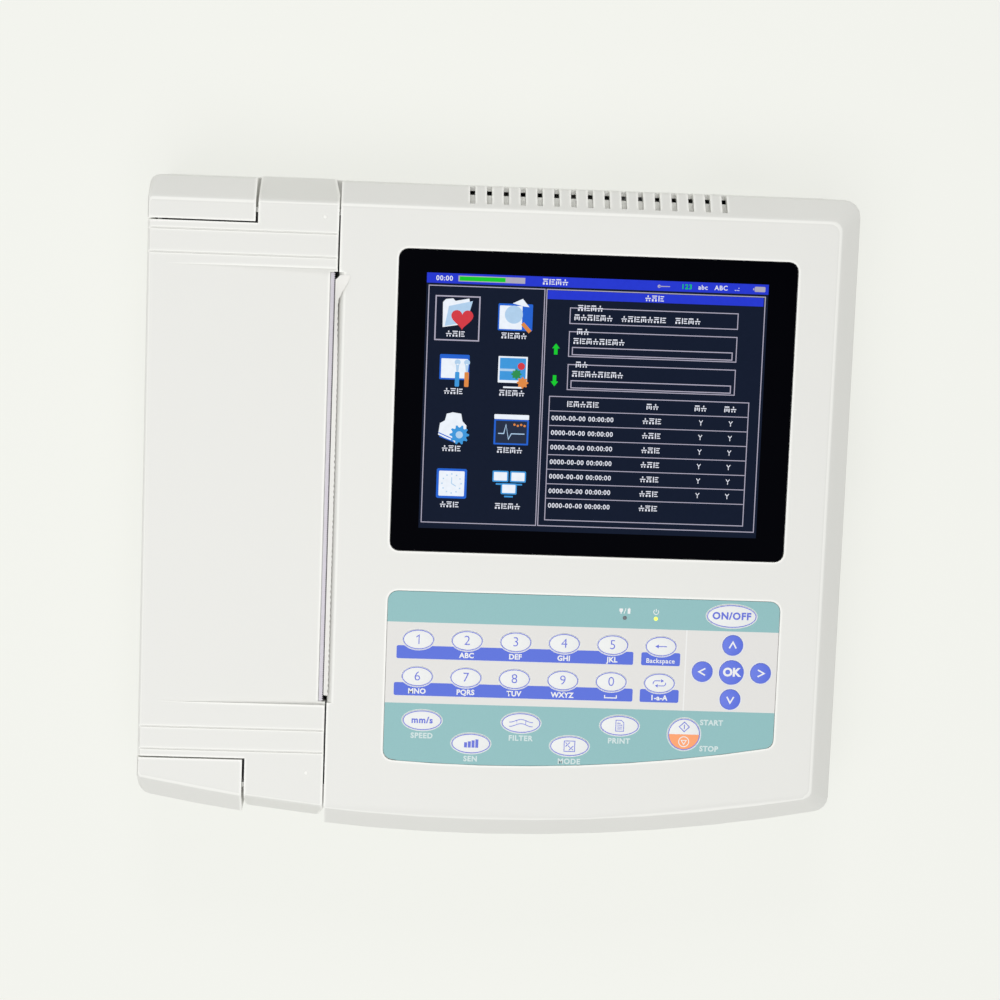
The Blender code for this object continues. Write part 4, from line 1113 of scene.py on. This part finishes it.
# %% Key finishes
key_white = moulded("key_white", (0.840, 0.855, 0.850), 0.38, grain=0.5, depth=0.003, mottle=0.01)
key_blue = moulded("key_blue", (0.095, 0.158, 0.755), 0.40, grain=0.5, depth=0.003, mottle=0.03)
key_orange = moulded("key_orange", (1.0, 0.352, 0.130), 0.42, grain=0.5, depth=0.003, mottle=0.02)
ink_blue = moulded("ink_blue", (0.110, 0.150, 0.700), 0.45, grain=0.3, depth=0.002, mottle=0.04)
ink_white = moulded("ink_white", (0.860, 0.870, 0.880), 0.45, grain=0.3, depth=0.002, mottle=0.02)
ink_pale = moulded("ink_pale", (0.640, 0.760, 0.760), 0.45, grain=0.3, depth=0.002, mottle=0.03)
BLUE_KEYS = ["key_up", "key_down", "key_left", "key_right", "key_select"]
print("key finishes:", key_white.name, key_blue.name, key_orange.name)


def centre_of(node):
    low, high = span(node)
    return (low.x + high.x) / 2, (low.y + high.y) / 2


def on_key(name, node, outlines, material, layer=1):
    """Flat print on a key's face. Outlines are given from the key's centre."""
    x, y = centre_of(node)
    placed = [moved(outline, x, y) for outline in outlines]
    piece = flat(name, placed, span(node)[1].z + LAYER * layer)
    return mount(piece, node + "_body", material)


# %% Caps and rings
RING_REACH = 0.65  # from the cap's edge to the inner side of its blue ring

for node in keys:
    low, high = span(node)
    x, y = centre_of(node)
    width, height = high.x - low.x, high.y - low.y
    blue = node in BLUE_KEYS
    cap = flat(node + "_cap", [key_shape(node)], (low.z + high.z) / 2, high.z - low.z)
    rim = cap.modifiers.new("soft_rim", "BEVEL")
    rim.width = 0.22 * MM
    rim.segments = 3
    rim.limit_method = "ANGLE"
    only(cap)
    bpy.ops.object.modifier_apply(modifier=rim.name)
    bpy.ops.object.shade_smooth_by_angle(angle=math.radians(50))
    mount(cap, node + "_body", key_blue if blue else key_white, node)
    halo = [key_shape(node, 1.2 if blue else 0.9), key_shape(node, 0.3)]
    mount(flat(node + "_halo", halo, pad_high.z + LAYER), "base", ink_white)
    if not blue:
        ring = [oval((0, 0), width - inset, height - inset, 64) for inset in (0.45, 2 * RING_REACH)]
        on_key(node + "_ring", node, ring, ink_blue, 2)
print("keys capped:", len(keys))

# %% [markdown]
# ## Signs on the keys
# Digits and words come from Blender's own font, with their strokes made a little thinner or bolder.
# The other signs are lines and simple shapes drawn about the key's centre, in millimetres. The few
# words are the plain ones that any machine may carry, such as start and stop.


# %% Printed text
def printed(name, text, x, y, z, size, material, body, thin=0.0, spacing=1.0):
    piece = digits(name, text, x, y, z, size, thin, spacing)
    return mount(piece, body, material)


KEY_TOP = span("key_1")[1].z
PRINT_Z = KEY_TOP + LAYER
for digit in "234567890":
    node = "key_" + digit
    x, y = centre_of(node)
    printed(node + "_sign", digit, x, y, PRINT_Z, 6.9, ink_blue, node + "_body", 0.05)
on_key("key_1_sign", "key_1", [stroke([(-1.1, 1.25), (0.25, 2.25), (0.25, -2.3)], 0.5)], ink_blue)
x, y = centre_of("key_power")
printed("key_power_sign", "ON/OFF", x, y, PRINT_Z, 5.0, ink_blue, "key_power_body", -0.20, 1.12)
x, y = centre_of("key_select")
printed("key_select_sign", "OK", x, y, PRINT_Z, 5.9, ink_white, "key_select_body", -0.28)
x, y = centre_of("key_speed")
printed("key_speed_sign", "mm/s", x, y, PRINT_Z, 4.5, ink_blue, "key_speed_body", -0.15, 1.14)
print("key tops stand", round(KEY_TOP, 2), "mm above the table")

# %% Arrow signs
chevron = stroke([(-1.75, -1.45), (0.0, 1.75), (1.75, -1.45)], 0.75)
for node, turn in (("key_up", 0), ("key_left", 90), ("key_down", 180), ("key_right", 270)):
    on_key(node + "_sign", node, [moved(chevron, 0, 0, turn=turn)], ink_white)
back_arrow = [[(-3.0, 0), (-1.2, 1.0), (-1.2, 0.22), (3.0, 0.22), (3.0, -0.22), (-1.2, -0.22), (-1.2, -1.0)]]
on_key("key_erase_sign", "key_erase", back_arrow, ink_blue)
half_turn = bow(1.3, range(200, 89, -18), x=-1.9)
cycle_arrow = [stroke(half_turn + [(0.5, 1.3)], 0.42), [(2.3, 1.3), (0.8, 2.2), (0.8, 0.4)]]
cycle_arrow += [moved(outline, 0, 0, turn=180) for outline in cycle_arrow]
on_key("key_cycle_sign", "key_cycle", cycle_arrow, ink_blue)
print("arrow signs: four chevrons, a back arrow and a cycle")

# %% [markdown]
# The function keys carry pictures. Rising bars stand for gain, two ripples for the filter, a square of
# dashes for the mode and a page for printing. Each picture is one flat mesh, so it stays sharp at
# any distance, which a texture would not.

# %% Signs of the function keys
bars = [slab(-3.4 + 1.9 * step, -2.1, -1.9 + 1.9 * step, 0.6 + 0.55 * step) for step in range(4)]
on_key("key_gain_sign", "key_gain", bars, ink_blue)


def ripple(x, low):
    return low + 0.75 * math.cos(x * 0.55)


sweep = [-6.0 + 0.6 * step for step in range(21)]
ripples = [stroke([(x, ripple(x, low)) for x in sweep], 0.35) for low in (-1.1, 1.1)]
ripples += [slab(x - 0.15, ripple(x, -0.9), x + 0.15, ripple(x, 0.9)) for x in (-1.9, 2.4)]
on_key("key_filter_sign", "key_filter", ripples, ink_blue)
tile = frame_lines(-2.9, -2.9, 2.9, 2.9, 0.38)
tile += [stroke([(-2.0, -0.2), (0.2, 2.0)], 0.42), stroke([(-0.2, -2.0), (2.0, 0.2)], 0.42)]
for dash in ([(-2.0, 1.9), (-1.3, 1.1)], [(-0.7, 0.3), (0.4, -0.8)], [(1.1, -1.2), (1.9, -2.0)]):
    tile.append(stroke(dash, 0.38))
on_key("key_mode_sign", "key_mode", tile, ink_blue)
page = [[(-2.1, 3.0), (0.9, 3.0), (2.3, 1.6), (2.3, -3.0), (-2.1, -3.0)]]
page += [[(-1.75, 2.65), (0.75, 2.65), (1.95, 1.45), (1.95, -2.65), (-1.75, -2.65)]]
page += [slab(-1.2, y, 1.4 - 0.9 * (y > 1), y + 0.36) for y in (1.15, 0.15, -0.85, -1.85)]
on_key("key_print_sign", "key_print", page, ink_blue)
print("signs of the function keys: bars, ripples, a tile and a page")

# %% [markdown]
# Start and stop share one round key. Its lower half is orange, cut just inside the blue ring. The
# upper half has a diamond, and the lower half a triangle in a circle.

# %% Start and stop
key_low, key_high = span("key_start_stop")
half_width = (key_high.x - key_low.x) / 2 - RING_REACH
on_key("stop_half", "key_start_stop", [bow(half_width, range(180, 361, 6))], key_orange)
diamond = [[(-2.9, 3.9), (0, 6.7), (2.9, 3.9), (0, 1.1)], [(-2.3, 3.9), (0, 6.1), (2.3, 3.9), (0, 1.7)]]
on_key("start_sign", "key_start_stop", diamond + [slab(-0.22, 2.7, 0.22, 5.1)], ink_blue, 2)
stop_ring = [oval((0, -3.8), 5.6, 5.6), oval((0, -3.8), 4.7, 4.7)]
triangle = [[(-1.7, -2.9), (1.7, -2.9), (0, -5.6)], [(-0.95, -3.3), (0.95, -3.3), (0, -4.8)]]
on_key("stop_sign", "key_start_stop", stop_ring + triangle, ink_white, 2)
print("start and stop share a key", round(key_high.x - key_low.x, 1), "mm across")

# %% [markdown]
# Under each number key are the letters that it types, white on the blue strips, and under each
# function key is one plain word. They are printed on the membrane, so they ride with the base and
# stay where they are when a key is pressed.

# %% Words beside the keys
PAD_PRINT = pad_high.z + LAYER
UPPER_LETTERS_Y = -70.2
LOWER_LETTERS_Y = -89.2
LETTERS = {
    "key_2": ("ABC", UPPER_LETTERS_Y),
    "key_3": ("DEF", UPPER_LETTERS_Y),
    "key_4": ("GHI", UPPER_LETTERS_Y),
    "key_5": ("JKL", UPPER_LETTERS_Y),
    "key_6": ("MNO", LOWER_LETTERS_Y),
    "key_7": ("PQRS", LOWER_LETTERS_Y),
    "key_8": ("TUV", LOWER_LETTERS_Y),
    "key_9": ("WXYZ", LOWER_LETTERS_Y),
    "key_cycle": ("1-a-A", LOWER_LETTERS_Y),
}
for node, (letters, y) in LETTERS.items():
    x = centre_of(node)[0]
    printed(node + "_letters", letters, x, y, PAD_PRINT, 3.7, ink_white, "base", -0.13, 1.05)
x = centre_of("key_erase")[0]
printed("key_erase_word", "Backspace", x, -70.1, PAD_PRINT, 3.3, ink_white, "base", -0.06, 1.08)
x = centre_of("key_0")[0]
space_sign = stroke([(x - 3.0, -88.4), (x - 3.0, -89.8), (x + 3.0, -89.8), (x + 3.0, -88.4)], 0.55)
mount(flat("key_0_space", [space_sign], PAD_PRINT), "base", ink_white)
WORDS = {
    "key_speed": "SPEED",
    "key_gain": "SEN",
    "key_filter": "FILTER",
    "key_mode": "MODE",
    "key_print": "PRINT",
}
WORD_DROP = 8.1
for node, word in WORDS.items():
    x, y = centre_of(node)
    printed(node + "_word", word, x, y - WORD_DROP, PAD_PRINT, 3.8, ink_pale, "base", -0.14, 1.12)
printed("start_word", "START", 113.4, -101.4, PAD_PRINT, 3.8, ink_pale, "base", -0.14, 1.08)
printed("stop_word", "STOP", 112.6, -115.0, PAD_PRINT, 3.8, ink_pale, "base", -0.14, 1.08)
print("words beside the keys:", len(LETTERS) + len(WORDS) + 3)

# %% [markdown]
# ## Lamps
# A lamp is a small clear lens in the membrane, with a light-emitting diode under it. The mains lamp is
# off and grey. The power lamp is lit, so its material shines yellow-green. Above each is a small
# white sign: mains or battery, and power.

# %% Lamps
lens_off = polished("lens_off", (0.16, 0.17, 0.19), 0.3, 0.3)
lens_lit, lit_shader, lens_place = start_finish("lens_lit", (0.72, 0.90, 0.10), 0.3)
frosting = add(lens_lit, "ShaderNodeTexNoise", {"Vector": lens_place, "Scale": 1500.0, "Detail": 2.0})
warm = blended(lens_lit, frosting.outputs["Fac"], (0.75, 0.95, 0.04), (0.95, 1.0, 0.10))
join(lens_lit, warm, lit_shader.inputs["Emission Color"])
lit_shader.inputs["Emission Strength"].default_value = 0.75
for node, material in (("mains_lamp", lens_off), ("power_lamp", lens_lit)):
    x, y = centre_of(node)
    lens = flat(node + "_lens", [oval((x, y), 1.95, 1.95, 32)], (pad_low.z + pad_high.z) / 2, pad_thickness)
    dome = lens.modifiers.new("dome", "BEVEL")
    dome.width = 0.3 * MM
    dome.segments = 4
    dome.limit_method = "ANGLE"
    only(lens)
    bpy.ops.object.modifier_apply(modifier=dome.name)
    bpy.ops.object.shade_smooth_by_angle(angle=math.radians(50))
    mount(lens, "base", material, node)

x, y = centre_of("power_lamp")
power_arc = stroke(bow(1.25, range(125, 416, 15)), 0.36)
power_sign = [moved(power_arc, x, y + 3.5), slab(x - 0.18, y + 3.6, x + 0.18, y + 5.1)]
x, y = centre_of("mains_lamp")
plug = [(-0.9, 1.2), (0.9, 1.2), (0.9, -0.1), (0.25, -0.8), (0.25, -1.5)]
plug += [(-0.25, -1.5), (-0.25, -0.8), (-0.9, -0.1)]
mains_sign = [moved(plug, x - 2.0, y + 3.6), stroke([(x - 0.5, y + 2.2), (x + 0.4, y + 5.0)], 0.35)]
mains_sign += [slab(x + 1.3, y + 2.2, x + 2.7, y + 4.8), slab(x + 1.7, y + 4.9, x + 2.3, y + 5.2)]
mount(flat("lamp_signs", power_sign + mains_sign, PAD_PRINT), "base", ink_white)
print("lamps:", len(lamps))

# %% [markdown]
# ## The parts inside and below
# The rest keep the model's own shape and get a better finish. The paper roll shows its wound layers
# on its end faces: rings about the roll's axis, made by a wave on the distance from that axis. Each
# ring stands for some dozens of turns of paper.


# %% Dressing a part of the model
def dress(material, *nodes):
    for node in nodes:
        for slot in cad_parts[node].material_slots:
            slot.material = material


# %% Wound paper
wound, wound_shader, wound_place = start_finish("wound_paper", (0.86, 0.85, 0.82), 0.8, specular=0.2)
flatten = add(wound, "ShaderNodeMapping", {"Vector": wound_place})
flatten.inputs["Location"].default_value = (-roll_centre.x * MM, 0.0, -roll_centre.y * MM)
flatten.inputs["Scale"].default_value = (1.0, 0.0, 1.0)
turns = add(
    wound,
    "ShaderNodeTexWave",
    {"Vector": flatten.outputs[0], "Scale": 190.0, "Distortion": 0.6},
    wave_type="RINGS",
    rings_direction="SPHERICAL",
)
shades = blended(wound, turns.outputs["Fac"], (0.80, 0.79, 0.75), (0.90, 0.89, 0.86))
join(wound, shades, wound_shader.inputs["Base Color"])
dress(wound, "paper_roll")
dress(card, "paper_core")
print("paper roll is", round((roll_reach - 0.5) * 2, 1), "mm across")


# %% [markdown]
# The boards show only through the vents and the open door. A brick pattern reads as green resist
# over copper: its joints are the lighter tracks, and every cell has a slightly different green.


# %% Circuit board
def board_finish(name, colour):
    """Solder resist over copper tracks: cells with lighter lanes between them."""
    material, shader, place = start_finish(name, colour, 0.35)
    tracks = add(
        material,
        "ShaderNodeTexBrick",
        {"Vector": place, "Scale": 90.0, "Mortar Size": 0.012},
        offset=0.37,
    )
    tracks.inputs["Color1"].default_value = (*colour, 1.0)
    tracks.inputs["Color2"].default_value = (*[channel * 0.86 for channel in colour], 1.0)
    tracks.inputs["Mortar"].default_value = (*[channel * 1.6 for channel in colour], 1.0)
    join(material, tracks.outputs["Color"], shader.inputs["Base Color"])
    return material


board_green = board_finish("board_green", (0.020, 0.110, 0.050))
dress(board_green, "main_board", "keypad_board")
dress(bay_plastic, "paper_bay")
dress(platen_rubber, "platen_roller")
dress(turned_steel, "platen_shaft", "door_pin_rear", "door_pin_front")
dress(gear_plastic, "platen_gear", "motor_pinion")
dress(steel, "paper_motor", "head_bracket", "display_module", "data_port")
dress(aluminium, "print_head", "power_module")
dress(brass, "ground_post")
dress(black_plastic, "mains_inlet", "lead_socket", "battery_pack")
dress(rubber, "foot_rear_left", "foot_front_left", "foot_rear_right", "foot_front_right")
print("parts in the frame:", len(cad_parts))

# %% [markdown]
# ## The floor
# The machine lies on a pale seamless table. A floor that glows a little hides most of the shadow,
# and what is left is the soft one where the case meets the table.

# %% Floor
bpy.ops.object.select_all(action="DESELECT")
bpy.ops.mesh.primitive_plane_add(size=6.0, location=(0, 0, 0))
floor = bpy.context.object
floor.name = "studio_floor"
table, table_shader, table_place = start_finish("studio_table", (0.25, 0.252, 0.240), 0.9, specular=0.1)
clouds = add(table, "ShaderNodeTexNoise", {"Vector": table_place, "Scale": 1.2, "Detail": 2.0})
even = blended(table, clouds.outputs["Fac"], (0.245, 0.247, 0.235), (0.255, 0.257, 0.245))
join(table, even, table_shader.inputs["Base Color"])
table_shader.inputs["Emission Color"].default_value = (0.99, 1.0, 0.945, 1.0)
table_shader.inputs["Emission Strength"].default_value = 0.66
floor.data.materials.append(table)
print("floor is", round(floor.dimensions.x), "m wide")
